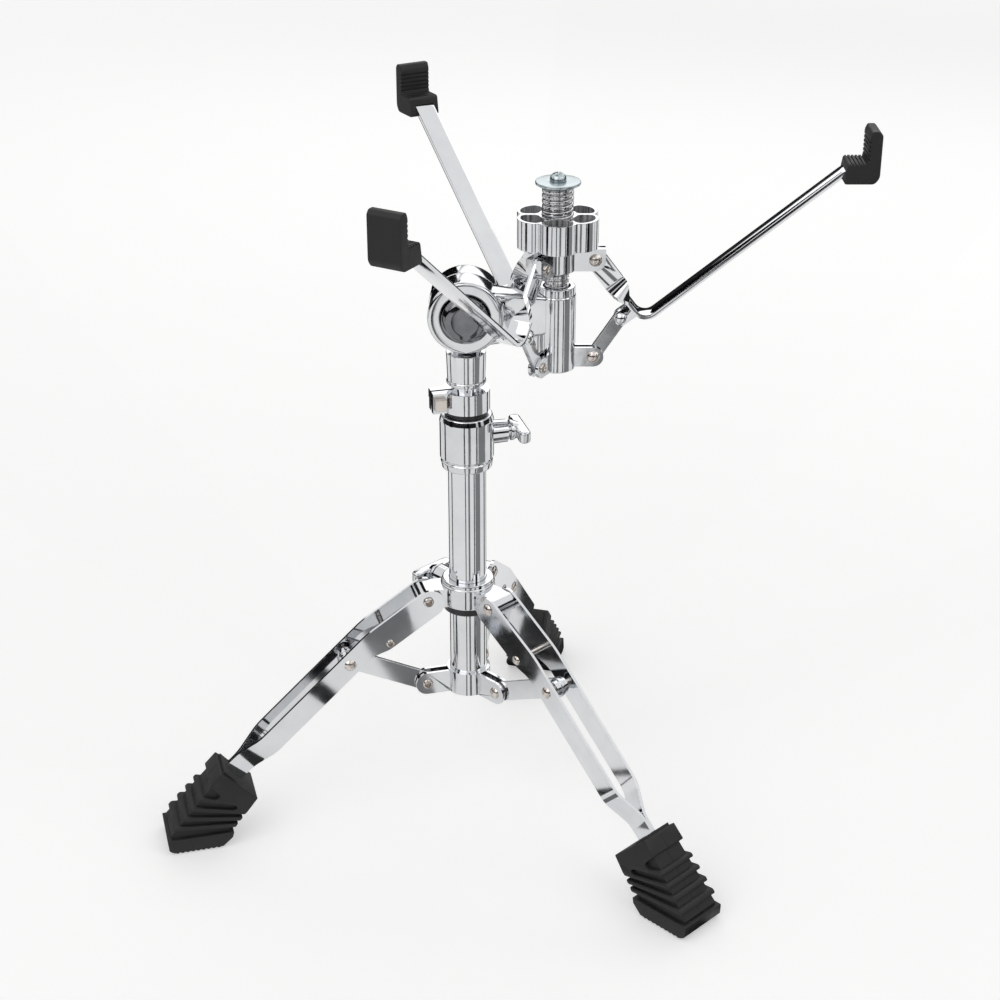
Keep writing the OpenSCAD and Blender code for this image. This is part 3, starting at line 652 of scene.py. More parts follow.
# Upright block whose sides lean out from the foot's top to its sole
def leaningBlock(name, outline, inset=0):
    look = footLook
    sole, lean = look["soleWidth"], look["soleWidth"] - look["topWidth"]
    block = addUpright(name, outline, -1, 1)
    for vertex in block.data.vertices:
        width = sole - lean * vertex.co.z / mm / look["outerTop"][1]
        vertex.co.y = math.copysign((width / 2 - inset) * mm, vertex.co.y)
    return block


# Flat rib through a point of the outer edge, sloping down inward by an angle, cut to the foot's outline
def footRib(point, angle, low, high, edge):
    rib = addBlock("rib", (-footLook["finReach"], -30, low), (12, 30, high))
    rib.data.transform(moved(point[0], 0, point[1]) @ turned(-angle, "Y"))
    combine(rib, [leaningBlock("outline", footSide(0))], "INTERSECT")
    cleanMesh(rib)
    bevelEdges(rib, edge, 3, 40)
    return rib


# The side of the solid top, which reaches down between the first ribs
def shoulderSide():
    look = footLook
    side = [look["innerTop"], look["outerTop"], tuple(footEdge(look["blockShare"]))]
    for (share, angle), groove, ends in zip(look["fins"], look["grooves"], look["grooveEnds"]):
        at, slope = footEdge(share), math.tan(math.radians(angle))
        side += arc(*groove, look["grooveSteps"]) + [(x, at.y - (at.x - x) * slope) for x in ends]
    return side


def makeFootShape():
    look = footLook
    core = leaningBlock("foot", footSide(look["finDepth"]), look["finDepth"])
    shoulder = leaningBlock("shoulder", shoulderSide())
    cleanMesh(shoulder)
    bevelEdges(shoulder, look["edge"], 3, 50)
    half, wide = look["fin"] / 2, look["soleWidth"] / 2 - look["toothInset"]
    parts = [shoulder] + [footRib(footEdge(share), angle, -half, half, look["finEdge"])
                          for share, angle in look["fins"]]
    parts.append(footRib((look["soleOuter"], look["band"]), 0, look["tooth"] - look["band"], 0, look["edge"]))
    for k in range(look["teeth"]):
        x = look["soleInner"] + look["teethFrom"] + k * look["teethOver"] / look["teeth"]
        parts.append(addCross("tooth", (x, look["tooth"] + 0.25), look["toothRadius"], -wide, wide,
                              segments=12))
    # flash left along the mould's parting plane, on the outer face of the top and of the core
    line, share = look["mouldLine"], look["blockShare"]
    for inset, start, end in ((0, 0.03, share - 0.02), (look["finDepth"], share, 0.97)):
        high, low = footEdge(start), footEdge(end)
        parts.append(addUpright("mouldLine", [(high.x - inset - 1, high.y), (high.x - inset + line, high.y),
                                              (low.x - inset + line, low.y), (low.x - inset - 1, low.y)],
                                -line, line))
    joinTo(core, parts)
    cutFrom(core, [addUpright("floorLine", [(100, -5), (260, -5), (260, 0), (100, 0)], -40, 40)])
    y, z = look["slotHalf"]
    slot = addBlock("slot", (legLook["pinchAt"], -y, -z), (legLook["end"] + 0.3, y, z))
    slot.data.transform(kinkTurn)
    cutFrom(core, [slot])
    smoothByAngle(core, 38)
    return core


firstFoot = makeFootShape()
for leg in range(3):
    foot = copyPiece(firstFoot, legTurn(leg))
    foot.name = "foot%d" % (leg + 1)
    finishPiece(foot, "leg_%d_foot" % (leg + 1))
bpy.data.objects.remove(firstFoot, do_unlink=True)
print("stage: feet made")

# Wing bolts: a round shank, a collar and a T-shaped wing with full round ends
wingLook = {"half": 17, "tipRadius": 4, "reach": 7, "thick": 8, "boltRadius": 4, "edge": 1.6}
threadHole = 4.05


def makeWingBolt(node, tip, root, azimuth, height):
    look = wingLook
    end, half, radius = look["half"] - look["tipRadius"], look["thick"] / 2, look["tipRadius"]
    x = root + look["reach"]
    wing = addPlate("wing", arc((x, end), radius, 0, 180, 14) + arc((x, -end), radius, 180, 360, 14),
                    -half, half, turned(azimuth) @ moved(0, 0, height))
    dressMetal(wing, look["edge"], 4)
    shank = addTurned("shank", softRing([
        (0, tip, 0), (look["boltRadius"], tip, 0.5), (look["boltRadius"], root, 0), (7, root, 0.5),
        (7, root + 1.6, 0.6), (5.2, root + 6, 0), (0, root + 6, 0)]), spokeTurn(azimuth, height), 64)
    smoothByAngle(shank)
    joinTo(shank, [wing])
    finishPiece(shank, node, 30)


# Leg collar: a thick plated sleeve on a nylon ring, with three lugs between the leg bars
legCollarLook = {"radius": 18.5, "low": 161, "high": 179, "step": 0.9, "lugHalf": 8.4, "lugFrom": 14,
                 "bore": 13, "edge": 0.6, "bossRadius": 8, "bossEnd": 27,
                 "boltAzimuth": 135, "boltHeight": 169,
                 "nylonRing": [(12.75, 155.5, 0.4), (16.2, 155.5, 0.8), (17, 156.6, 0.6), (17, 161, 0),
                               (12.75, 161, 0)]}


def makeLegCollar():
    look = legCollarLook
    low, high, radius = pick(look, "low high radius")
    upper, bolt = radius - look["step"], (look["boltAzimuth"], look["boltHeight"])
    collar = addTurned("legCollar", softRing([
        (5, low, 0), (radius, low, 1.4), (radius, high - 3.2, 0.5), (upper, high - 2.6, 0.5),
        (upper, high, 1.2), (5, high, 0)]), steps=128)
    reach = legP.y - low - 0.05
    lugs, holes = [], [addRound("bore", look["bore"], 150, 190)]
    for index in range(3):
        lugs.append(addUpright("lug", earSide(legP, reach, look["lugFrom"], 24), -look["lugHalf"],
                               look["lugHalf"], legTurn(index)))
        holes.append(addHole(legP, 12, legTurn(index)))
    lugs.append(addSpoke("boss", look["bossRadius"], 14, look["bossEnd"], *bolt))
    holes.append(addSpoke("thread", threadHole, 5, 30, *bolt))
    makeDressed(collar, "leg_collar", lugs, holes, look["edge"])
    makeTurned("collarRing", "collar_ring", look["nylonRing"], steps=128)
    makeRivets("collarRivets", "leg_collar_rivets", legP, legFace + 0.3, legTurn)
    makeWingBolt("leg_wing_bolt", 13, 29, *bolt)


clampLook = {"radius": 18, "low": 262, "high": 300, "bore": 12.72, "edge": 0.6, "groove": 0.9,
             "bushing": [(9.58, 266, 0.2), (11.19, 266, 0.2), (11.19, 300, 0), (14.2, 300.05, 0.3),
                         (14.2, 303, 0.8), (9.58, 303, 0.5)]}


def makeHeightClamp():
    look = clampLook
    low, high, radius = pick(look, "low high radius")
    band = radius - 0.6                # the foot of the clamp is a little thinner, with a groove above it
    neck = band - look["groove"]
    clamp = addTurned("heightClamp", softRing([
        (5, low, 0), (radius - 1.4, low, 1), (band, low + 5, 0.5), (neck, low + 5.8, 0.4),
        (neck, low + 7, 0.4), (radius, low + 7.8, 0.5), (radius, high - 4, 0.5), (radius - 1.2, high, 1),
        (5, high, 0)]), steps=128)
    makeDressed(clamp, "height_clamp", [addSpoke("boss", 8, 14, 27, *boltAt, 7.6)],
                [addRound("bore", look["bore"], 250, 310), addSpoke("thread", threadHole, 5, 30, *boltAt)],
                look["edge"])
    makeTurned("bushing", "height_bushing", look["bushing"])
    makeWingBolt("height_wing_bolt", 11.5, 29, *boltAt)


# Upper tube, its end plug and the memory lock with its square-headed key screw
upperLook = {"outer": 9.525, "inner": 8.025, "low": 115, "high": 339, "edge": 0.3, "plugEnds": (112.5, 127)}
lockLook = {"radius": 15.5, "low": 303.3, "high": 317.3, "bore": 9.58, "azimuth": 195, "screwAt": 19,
            "earHalf": 6, "slitHalf": 1, "edge": 0.8, "screwEdge": 0.5}


def makeUpperTube():
    look = upperLook
    inner, outer, low, high, edge = pick(look, "inner outer low high edge")
    makeTurned("upperTube", "upper_tube", [(inner, low, 0.2), (outer, low, edge), (outer, high, edge),
                                           (inner, high, 0.2)], steps=128)
    bottom, top = look["plugEnds"]
    makeTurned("endPlug", "tube_end_plug", [
        (0, bottom, 0), (outer, bottom, 1), (outer, low, 0), (inner, low, 0), (inner, top, 1), (0, top, 0)],
        steps=64)


def makeMemoryLock():
    look = lockLook
    turn = turned(look["azimuth"])
    low, high, at, half, slit = pick(look, "low high screwAt earHalf slitHalf")
    middle = (low + high) / 2
    body = addRound("memoryLock", look["radius"], low, high)
    makeDressed(body, "memory_lock",
                [addBlock("ears", (6, -half, low + 0.02), (at + 4.5, half, high - 0.02), turn)],
                [addRound("bore", look["bore"], 300, 320),
                 addBlock("slit", (8, -slit, 300), (30, slit, 320), turn), addHole((at, middle), 8, turn)],
                look["edge"])
    shank = addCross("lockScrew", (at, middle), rivetLook["radius"], -8, 7, turn)
    head = addTurned("head", softRing([(0, -9, 0), (4, -9, 0.5), (4, -6, 0.3), (0, -6, 0)]),
                     turn @ acrossAt((at, middle), 0), 48)
    key = addBlock("key", (at - 3, -15, middle - 3), (at + 3, -8.9, middle + 3), turn)
    nut = addBlock("nut", (at - 4, 6, middle - 4), (at + 4, 10, middle + 4), turn)
    for part in (head, key, nut):
        dressMetal(part, look["screwEdge"])
    finishPiece(gather([shank, head, key, nut], "lockScrew"), "memory_lock_screw")


makeLegCollar()
makeHeightClamp()
makeUpperTube()
makeMemoryLock()
print("stage: collar, clamp and tubes made")


# Tilter: two cast drums face to face on one bolt; the front one carries the arm to the basket
tilterLook = {"height": 372, "radius": 24, "rear": 17, "front": 19.5, "rim": 2.6, "face": 0.5, "gap": 0.15,
              "rearHub": 13, "frontHub": 16.4, "neckEdge": 1.4, "armEdge": 2.4, "hubHole": 12.3,
              "socket": [(0, 321.3, 0), (13, 321.3, 0.8), (13, 323.5, 0.4), (12.4, 324.2, 0.4),
                         (13, 343, 0.5), (0, 343, 0)],
              "cap": [(7.3, 0, 0), (15, 0, 0.3), (15, 2.6, 0.8), (13.6, 4.4, 1), (12.4, 5.6, 0.8),
                      (9, 6.3, 0.6), (0, 6.55, 0), (0, 3.3, 0), (7.3, 3.3, 0)],
              "bolt": [(0, -22.5, 0), (7, -22.5, 0.6), (7, -19.8, 0.3), (4, -19.8, 0), (4, 42.8, 0.8),
                       (0, 42.8, 0)],
              "washer": [(4, 17, 0), (10, 17, 0.3), (10, 18.5, 0.4), (4, 18.5, 0)]}
tilterAxis = (0, tilterLook["height"])


def addDrum(name, outer, hub, way):
    look = tilterLook
    radius, gap, face, rim = pick(look, "radius gap face rim")
    floor = outer - 0.7                # the outer face is sunk inside its hub line
    return addTurned(name, softRing([
        (0, gap, 0), (radius, gap, face), (radius, outer, rim), (hub, outer, 0.6), (hub - 0.8, floor, 0),
        (0, floor, 0)], 6), acrossAt(tilterAxis, 0, way), 128)


def makeTilter():
    look = tilterLook
    rear = addDrum("tilterRear", look["rear"], look["rearHub"], 1)
    socket = addTurned("socket", softRing(look["socket"]))
    neck = addPlate("neck", [(-10, 0.2), (10, 0.2), (10, 12.6), (7, 15), (-7, 15), (-10, 12.6)], 331.3, 360)
    dressMetal(neck, look["neckEdge"])
    joinTo(rear, [socket, neck])
    cutFrom(rear, [addRound("bore", upperLook["outer"] + 0.01, 315, 339.01),
                   addCross("hole", tilterAxis, 4.02, -2, 20)])
    finishPiece(rear, "tilter_rear", 30)

    front = addDrum("tilterFront", look["front"], look["frontHub"], -1)
    z = look["height"]
    arm = addUpright("arm", softRing([(0, z - 20, 0), (58, z - 14, 0), (58, z + 10, 0), (0, z + 20, 0)]),
                     -19.3, -0.17)
    plan = addPlate("plan", softRing([(-1, -0.17, 0), (58, -0.17, 0), (58, -9, 0), (46, -11, 5),
                                      (20, -18.4, 6), (-1, -19.3, 0)]), z - 40, z + 40)
    combine(arm, [plan], "INTERSECT")
    dressMetal(arm, look["armEdge"], 4, 24)
    joinTo(front, [arm])
    cutFrom(front, [addCross("hole", tilterAxis, 4.06, -22, 2),
                    addRound("hubHole", look["hubHole"], 320, 400, (basketX, 0))])
    finishPiece(front, "tilter_front", 30)
    makeTurned("tilterCap", "tilter_cap", look["cap"], acrossAt(tilterAxis, -look["front"], -1), 96, 5, 34)
    makeTurned("tilterBolt", "tilter_bolt", look["bolt"], acrossAt(tilterAxis, 0), 64)
    makeTurned("tilterWasher", "tilter_washer", look["washer"], acrossAt(tilterAxis, 0), 64)


# Wing nut behind the tilter: a cone-shouldered body and two thumb wings, bored through
tilterNutLook = {"low": 18.8, "wingAngle": 35, "wingHalf": 3, "wingEdge": 1.3}


def makeTilterNut():
    look, low = tilterNutLook, tilterNutLook["low"]
    nut = addTurned("wingNut", softRing([
        (0, low, 0), (8, low, 0.5), (8, low + 9, 1), (7, low + 14, 1), (0, low + 14, 0)]),
        acrossAt(tilterAxis, 0), 64)
    wings = []
    for side in (0, 1):
        ring = ([(4.5, low + 2), (15.5, low + 2.2)] + arc((14.5, low + 7.5), 5.5, -70, 110, 16)
                + [(4.5, low + 11.5)])
        turn = moved(0, 0, tilterLook["height"]) @ turned(look["wingAngle"] + 180 * side, "Y")
        wings.append(addPlate("wing", ring, -look["wingHalf"], look["wingHalf"], turn))
        dressMetal(wings[-1], look["wingEdge"], 3)
    joinTo(nut, wings)
    cutFrom(nut, [addCross("bore", tilterAxis, threadHole, low - 2, low + 20)])
    finishPiece(nut, "tilter_wing_nut", 30)


makeTilter()
makeTilterNut()
print("stage: tilter made")


# Threads: one rounded ridge swept up a helix and clipped flat at both ends
def addHelix(name, section, pitch, low, high, clipRadius, steps=64):
    helix = addRing(name, [(radius, 0, height + low - pitch) for radius, height in section])
    screw = helix.modifiers.new("helix", "SCREW")
    screw.axis = "Z"
    screw.angle = 2 * math.pi
    screw.screw_offset = pitch * mm
    screw.iterations = int((high - low) / pitch) + 3
    screw.steps = screw.render_steps = steps
    screw.use_merge_vertices = False
    applyModifiers(helix)
    startEdit()
    bpy.ops.mesh.fill_holes(sides=0)
    endEditOutwards()
    combine(helix, [addRound("clip", clipRadius, low, high)], "INTERSECT")
    helix.data.transform(basketShift)
    return helix


postLook = {"radius": 7.8, "low": 332, "shoulder": 413.3, "top": 454, "root": 8.7, "crest": 10, "pitch": 3.5,
            "grooveLow": 366, "grooveHigh": 397, "grooveRoot": 6.9}


def makePost():
    look = postLook
    root, crest, shoulder, top = pick(look, "root crest shoulder top")
    inner, outer, pitch = pick(look, "grooveRoot radius pitch")
    post = addTurned("basketPost", softRing([
        (0, look["low"], 0), (outer, look["low"], 0.5), (outer, shoulder, 0), (root, shoulder + 0.02, 0.4),
        (root, top, 0.3), (0, top, 0)]), basketShift)
    # the thread's half section as (radius, height): a wide flat crest with rounded shoulders
    half = [(crest, 0.75), (crest - 0.08, 0.95), (crest - 0.45, 1.3), (root, 1.64), (root - 0.8, 1.64)]
    ridge = [(radius, -height) for radius, height in reversed(half)] + half
    joinTo(post, [addHelix("thread", ridge, pitch, shoulder + 0.05, top - 0.05, crest + 2)])
    half = [(inner, 0.3), (inner + 0.4, 0.75), (outer + 0.6, 1.3)]     # the groove's half section
    groove = [(radius, -height) for radius, height in half] + half[::-1]
    cutFrom(post, [addHelix("groove", groove, pitch, look["grooveLow"], look["grooveHigh"], outer + 2)])
    finishPiece(post, "basket_post", 32)
    post.data.materials[0] = threadSteel


# Zinc washer and the pan screw that holds it, its cross recess a little chewed: the head's side is
# (radius, height), and each chip (x, y, height, radius)
capScrewLook = {"washerRadius": 14.25, "low": 454, "washer": 2, "washerBore": 2.62, "screwRadius": 2.6,
                "head": [(4.9, 0), (5.2, 0.4), (5.2, 1.3), (5.05, 2.1), (4.7, 2.9), (4.15, 3.7), (3.4, 4.4),
                         (2.5, 4.95), (1.4, 5.3), (0, 5.42)],
                "crossAngle": 20, "crossHalf": (2.9, 0.5),
                "chips": [(2.2, -1.6, 4.3, 0.9), (-1.7, 2.0, 4.2, 0.8), (-2.4, -1.2, 4.0, 0.7)]}


def makePostScrew():
    look = capScrewLook
    low, bore, rim, radius = pick(look, "low washerBore washerRadius screwRadius")
    high = low + look["washer"]
    makeTurned("postWasher", "post_washer", [(bore, low, 0.2), (rim, low, 0.5), (rim, high, 0.7),
                                             (bore, high, 0.2)], basketShift, 128)
    screw = addTurned("postScrew", [(0, 440), (radius, 440.5), (radius, high)]
                      + [(x, high + z) for x, z in look["head"]], basketShift)
    long, wide = look["crossHalf"]
    cutters = [addBlock("slot", (-long, -wide, high + 2.9), (long, wide, high + 8),
                        basketShift @ turned(look["crossAngle"] + angle)) for angle in (0, 90)]
    cutters.append(addRound("well", 0.4, high + 2.1, high + 6.2, (basketX, 0), None, 24, 2.0))
    for x, y, height, size in look["chips"]:
        place = ((basketX + x) * mm, y * mm, (high + height + 0.9) * mm)
        cutters.append(addShape("chip", bpy.ops.mesh.primitive_ico_sphere_add, subdivisions=1,
                                radius=size * mm, location=place))
        bpy.ops.object.transform_apply(location=True, rotation=True, scale=True)
    cutFrom(screw, cutters)
    finishPiece(screw, "post_screw", 30)


# Six-lobed nut: scalloped wall, six pockets with chamfered corners, webs and a bored core
nutLook = {"diameter": 55, "lobe": 12.5, "valley": 22.8, "wall": 2.3, "web": 3, "core": 12.3, "bore": 10.05,
           "low": 413.6, "boss": 2, "height": 19, "floor": 2.3, "pocketAt": 16.8, "pocketStep": 0.05,
           "chamfer": 1.5, "edge": 0.35}


# Distance from the nut's axis to its scalloped side
def lobeReach(angle):
    radius, best = nutLook["lobe"], nutLook["valley"]
    centre = nutLook["diameter"] / 2 - radius
    for k in range(6):
        offset = math.radians(angle - 30 - 60 * k)
        if math.cos(offset) > 0 and abs(centre * math.sin(offset)) < radius:
            across = centre * math.sin(offset)
            best = max(best, centre * math.cos(offset) + math.sqrt(radius ** 2 - across ** 2))
    return best


# One pocket along +X: rays from its middle that stop short of the wall, the webs, the core and the chamfers
def pocketRing(rays=72, longest=12):
    look, ring = nutLook, []
    for step in range(rays):
        angle = 2 * math.pi * step / rays
        ray, reach = Vector((math.cos(angle), math.sin(angle))), 0.2
        while reach < longest:
            x, y = look["pocketAt"] + ray.x * reach, ray.y * reach
            radius, turn = math.hypot(x, y), math.degrees(math.atan2(y, x))
            toWeb = radius * math.sin(math.radians(30 - abs(turn))) - look["web"] / 2
            toCore = radius - look["core"]
            toWall = lobeReach(turn + 30) - look["wall"] - radius
            if min(toWeb, toCore, toWall) < 0 or toWeb + min(toCore, toWall) < look["chamfer"]:
                break
            reach += look["pocketStep"]
        ring.append((x, y))
    return ring


def makeNut():
    look = nutLook
    low, core = look["low"], look["core"]
    body = low + look["boss"]
    top = body + look["height"]
    floor = body + look["floor"]
    outline = []
    for k in range(240):
        angle = 1.5 * k
        reach = lobeReach(angle)
        outline.append((reach * math.cos(math.radians(angle)), reach * math.sin(math.radians(angle))))
    nut = addPlate("basketNut", outline, body, top, basketShift)
    boss = addTurned("boss", softRing([(0, low, 0), (core, low, 0.5), (core, body + 1, 0), (0, body + 1, 0)]),
                     basketShift)
    pocket = pocketRing()
    cuts = [addPlate("pocket", pocket, floor, top + 3, basketShift @ turned(30 + 60 * k)) for k in range(6)]
    cuts.append(addRound("bore", look["bore"], low - 2, top + 3, (basketX, 0)))
    makeDressed(nut, "basket_nut", [boss], cuts, look["edge"], 2, 40, 38)
    # the pockets get a second finish whose pale base paints light into them against their shade
    nut.data.materials.append(pocketPaintedLight)
    for face in nut.data.polygons:
        x, y, z = face.center[0] / mm - basketX, face.center[1] / mm, face.center[2] / mm
        inside = core - 0.4 < math.hypot(x, y) < lobeReach(math.degrees(math.atan2(y, x))) - 1
        if inside and floor - 0.1 < z < top - 0.2:
            face.material_index = 1


# Basket collar: a plated sleeve with three slotted ears for the arms
basketCollarLook = {"radius": 12, "low": 398.7, "high": 413.3, "earHalf": 5.5, "earEnd": 30.6, "slot": 3.2,
                    "pivot": (24, 406), "edge": 0.45}


def makeBasketCollar():
    look = basketCollarLook
    low, high, end, half, slot = *pick(look, "low high earEnd earHalf"), look["slot"] / 2
    collar = addRound("basketCollar", look["radius"], low, high, (basketX, 0), segments=128)
    ears = []
    cuts = [addRound("bore", 7.85, low - 1, high + 2, (basketX, 0)),
            addRound("counterbore", 10.3, low + 5.3, high + 2, (basketX, 0))]
    outline = ([(9, low + 0.02), (end - 7, low + 0.02)] + arc((end - 7, low + 7), 6.98, -90, 0, 14)[1:]
               + [(end - 0.02, high - 0.02), (9, high - 0.02)])
    for index in range(3):
        turn = armTurn(index)
        ears.append(addUpright("ear", outline, -half, half, turn))
        cuts += [addBlock("slot", (13.5, -slot, low - 1), (45, slot, high + 1), turn),
                 addHole(look["pivot"], 10, turn)]
    makeDressed(collar, "basket_collar", ears, cuts, look["edge"])
    makeRivets("armRivets", "arm_rivets", look["pivot"], half, armTurn)


hubLook = {"radius": 12.3, "low": 332, "high": 387.9, "cup": 8.7, "cupDepth": 28, "bore": 7.8,
           "pivot": (24, 340), "ear": 2, "earRadius": 6.5, "earFrom": 10.4, "gap": 1.65, "edge": 0.45}


def makeHub():
    look = hubLook
    low, high, radius, cup, bore, pivot = pick(look, "low high radius cup bore pivot")
    hub = addTurned("basketHub", softRing([
        (bore, low, 0.4), (radius, low, 0.8), (radius, high - 6, 0.5), (radius - 0.5, high - 5.4, 0.4),
        (radius - 0.5, high, 0.8), (cup, high, 0.6), (cup, high - look["cupDepth"], 0),
        (bore, high - look["cupDepth"], 0)]), basketShift)
    ears, holes = [], []
    for index in range(3):
        ears += addCheeks(earSide(pivot, look["earRadius"], look["earFrom"], 20), look["gap"], look["ear"],
                          armTurn(index))
        holes.append(addHole(pivot, 8, armTurn(index)))
    makeDressed(hub, "basket_hub", ears, holes, look["edge"])
    makeRivets("strutRivets", "strut_rivets", pivot, look["gap"] + look["ear"], armTurn)


makePost()
makePostScrew()
makeNut()
makeBasketCollar()
makeHub()
print("stage: post, nut, collar and hub made")


# Basket arms: one strip that twists a quarter turn, bends up to the hoop and ends in a lip
armLook = {"width": 13.6, "thick": 3, "flat": 20, "twist": 16, "twistSteps": 24, "drop": 53, "dropLength": 52,
           "rise": 39, "hoop": 463, "reach": 192.5, "lip": 485, "bends": (0, 9, 7, 3, 0), "bendSteps": 8,
           "edge": 0.4, "lugAt": 42, "lugOffset": 10}
armP = Vector(basketCollarLook["pivot"])
armLow = armP + armLook["dropLength"] * along(armLook["drop"])
armKnee = Vector((armLow.x + (armLook["hoop"] - armLow.y) / math.tan(math.radians(armLook["rise"])),
                  armLook["hoop"]))
armEnd = Vector((armLook["reach"], armLook["hoop"]))
armLip = Vector((armLook["reach"], armLook["lip"]))


# Points along a line of corners, each corner taken on a round of its own radius
def bentPath(corners, radii, steps):
    points = [corners[0].copy()]
    for before, here, after, radius in zip(corners, corners[1:], corners[2:], radii[1:]):
        toBefore, toAfter = (before - here).normalized(), (after - here).normalized()
        half = toBefore.angle(toAfter) / 2
        reach = radius / math.tan(half)
        first, last = here + toBefore * reach, here + toAfter * reach
        middle = here + (toBefore + toAfter).normalized() * (radius / math.sin(half))
        start = first - middle
        turn = start.angle_signed(last - middle)
        for n in range(steps + 1):
            angle = -turn * n / steps
            points.append(middle + Vector((start.x * math.cos(angle) - start.y * math.sin(angle),
                                           start.x * math.sin(angle) + start.y * math.cos(angle))))
    points.append(corners[-1].copy())
    return points


# Stations along the strip: point, share of the quarter turn, half width
def armStations():
    look = armLook
    half, down, flat, twist = look["width"] / 2, along(look["drop"]), look["flat"], look["twist"]
    stations = []
    for k in range(9):
        angle = math.radians(90 * (1 - k / 8))
        stations.append((armP - down * half * math.sin(angle), 0, max(0.5, half * math.cos(angle))))
    stations.append((armP + down * flat, 0, half))
    for k in range(1, look["twistSteps"] + 1):
        share = k / look["twistSteps"]
        stations.append((armP + down * (flat + twist * share), share, half))
    bends = bentPath([armP + down * (flat + twist), armLow, armKnee, armEnd, armLip], look["bends"],
                     look["bendSteps"])
    return stations + [(point, 1, half) for point in bends[1:]]


def makeArm(index):
    look, turn, stations = armLook, armTurn(index), armStations()
    count = len(stations)
    arm = addShape("arm%d" % (index + 1), bpy.ops.mesh.primitive_grid_add, x_subdivisions=count - 1,
                   y_subdivisions=1, size=1)
    columns = sorted({round(v.co.x, 5) for v in arm.data.vertices})
    for vertex in arm.data.vertices:
        place = columns.index(round(vertex.co.x, 5))
        point, share, width = stations[place]
        before = stations[max(0, place - 1)][0]
        after = stations[min(count - 1, place + 1)][0]
        if 0 < place < count - 1:
            direction = ((point - before).normalized() + (after - point).normalized()).normalized()
        else:
            direction = (after - before).normalized()
        angle = math.radians(90 * share)
        wide = Vector((-direction.y, 0, direction.x)) * math.cos(angle) + Vector((0, 1, 0)) * math.sin(angle)
        side = math.copysign(1, vertex.co.y)
        vertex.co = (Vector((point.x, 0, point.y)) + wide * side * width) * mm
    shell = arm.modifiers.new("thickness", "SOLIDIFY")
    shell.thickness = look["thick"] * mm
    shell.offset = 0
    applyModifiers(arm)
    arm.data.transform(turn)
    cutFrom(arm, [addHole(armP, 6, turn)])
    bevelEdges(arm, look["edge"], 2, 50)
    finishPiece(arm, "arm_%d" % (index + 1), 36)


strutLook = {"width": 9, "thick": 3, "edge": 0.4}
strutH = Vector(hubLook["pivot"])
strutJ = armP + armLook["lugAt"] * along(armLook["drop"]) - armLook["lugOffset"] * above(armLook["drop"])


def makeStrut(index):
    look, turn, half = strutLook, armTurn(index), strutLook["thick"] / 2
    strut = addUpright("strut%d" % (index + 1), strapSide(strutH, strutJ, look["width"]), -half, half, turn)
    makeDressed(strut, "strut_%d" % (index + 1), [], [addHole(strutH, 6, turn), addHole(strutJ, 6, turn)],
                look["edge"])


# Rubber grip on each arm's end: a moulded boot with ribs where the drum's hoop sits. The grooves are
# (start, pitch, width) along the seat and up the back
gripLook = {"edge": 1.6, "width": 21.6, "half": 6.5, "back": 189, "grooveDepth": 0.9, "grooveCount": 5,
            "seatGrooves": (1.6, 2.3, 1.0), "backGrooves": (8.6, 2.7, 1.1), "mouthSlack": 0.01}


def makeGrip(index):
    look, turn = gripLook, armTurn(index)
    wide, deep, back = look["width"] / 2, look["grooveDepth"], look["back"]
    x0, x1, z0, z1 = armKnee.x, armEnd.x, armEnd.y, armLip.y
    low, seat = z0 - look["half"], z0 + look["half"]
    grip = addUpright("grip%d" % (index + 1), softRing([
        (x0 - 2, low, 2), (x1 + 1.5, low, 2), (x1 + 4.5, z0 - 2.5, 2), (x1 + 4.5, z1 + 2, 1),
        (x1 + 2.5, z1 + 4.5, 1), (x1 - 2, z1 + 4.5, 1), (back, z1 + 1, 1), (back, seat, 1.5),
        (x0, seat, 2)]), -wide, wide, turn)
    grooves = []
    start, pitch, width = look["seatGrooves"]
    for x in [x0 + start + k * pitch for k in range(look["grooveCount"])]:
        grooves.append(addBlock("groove", (x, -wide - 1, seat - deep), (x + width, wide + 1, z0 + 9), turn))
    start, pitch, width = look["backGrooves"]
    for z in [z0 + start + k * pitch for k in range(look["grooveCount"])]:
        grooves.append(addBlock("groove", (back - 5, -wide - 1, z), (back + deep, wide + 1, z + width), turn))
    dressMetal(grip, look["edge"], 3)
    cutFrom(grip, grooves)
    cutFrom(grip, [addMouth(turn)])
    finishPiece(grip, "arm_%d_grip" % (index + 1), 30)


# The strip's own space inside a grip
def addMouth(turn):
    slack = gripLook["mouthSlack"]
    t, half = armLook["thick"] / 2 + slack, armLook["width"] / 2 + slack
    direction = (armKnee - armLow).normalized()
    normal = Vector((-direction.y, direction.x))
    start = armKnee - direction * 20
    tip = armLip.y + 0.5
    side = [start - normal * t, armKnee + Vector((t * 0.35, -t)), armEnd + Vector((t, -t)),
            (armEnd.x + t, tip), (armEnd.x - t, tip), armEnd + Vector((-t, t)),
            armKnee + Vector((-t * 0.35, t)), start + normal * t]
    return addUpright("mouth", side, -half, half, turn)


# The lug under an arm is its CAD solid with whole faces and rounded edges
lugLook = {"edge": 0.35}


def makeLug(index):
    node = "arm_%d_lug" % (index + 1)
    lug = copyPiece(frame["nodes"][node])
    lug.parent = None
    for key in list(lug.keys()):
        del lug[key]
    lug.name = node + "_finished"
    cleanMesh(lug)
    bevelEdges(lug, lugLook["edge"])
    finishPiece(lug, node, 32)


for index in range(3):
    makeArm(index)
    makeStrut(index)
    makeGrip(index)
    makeLug(index)
print("stage: arms, struts and grips made")


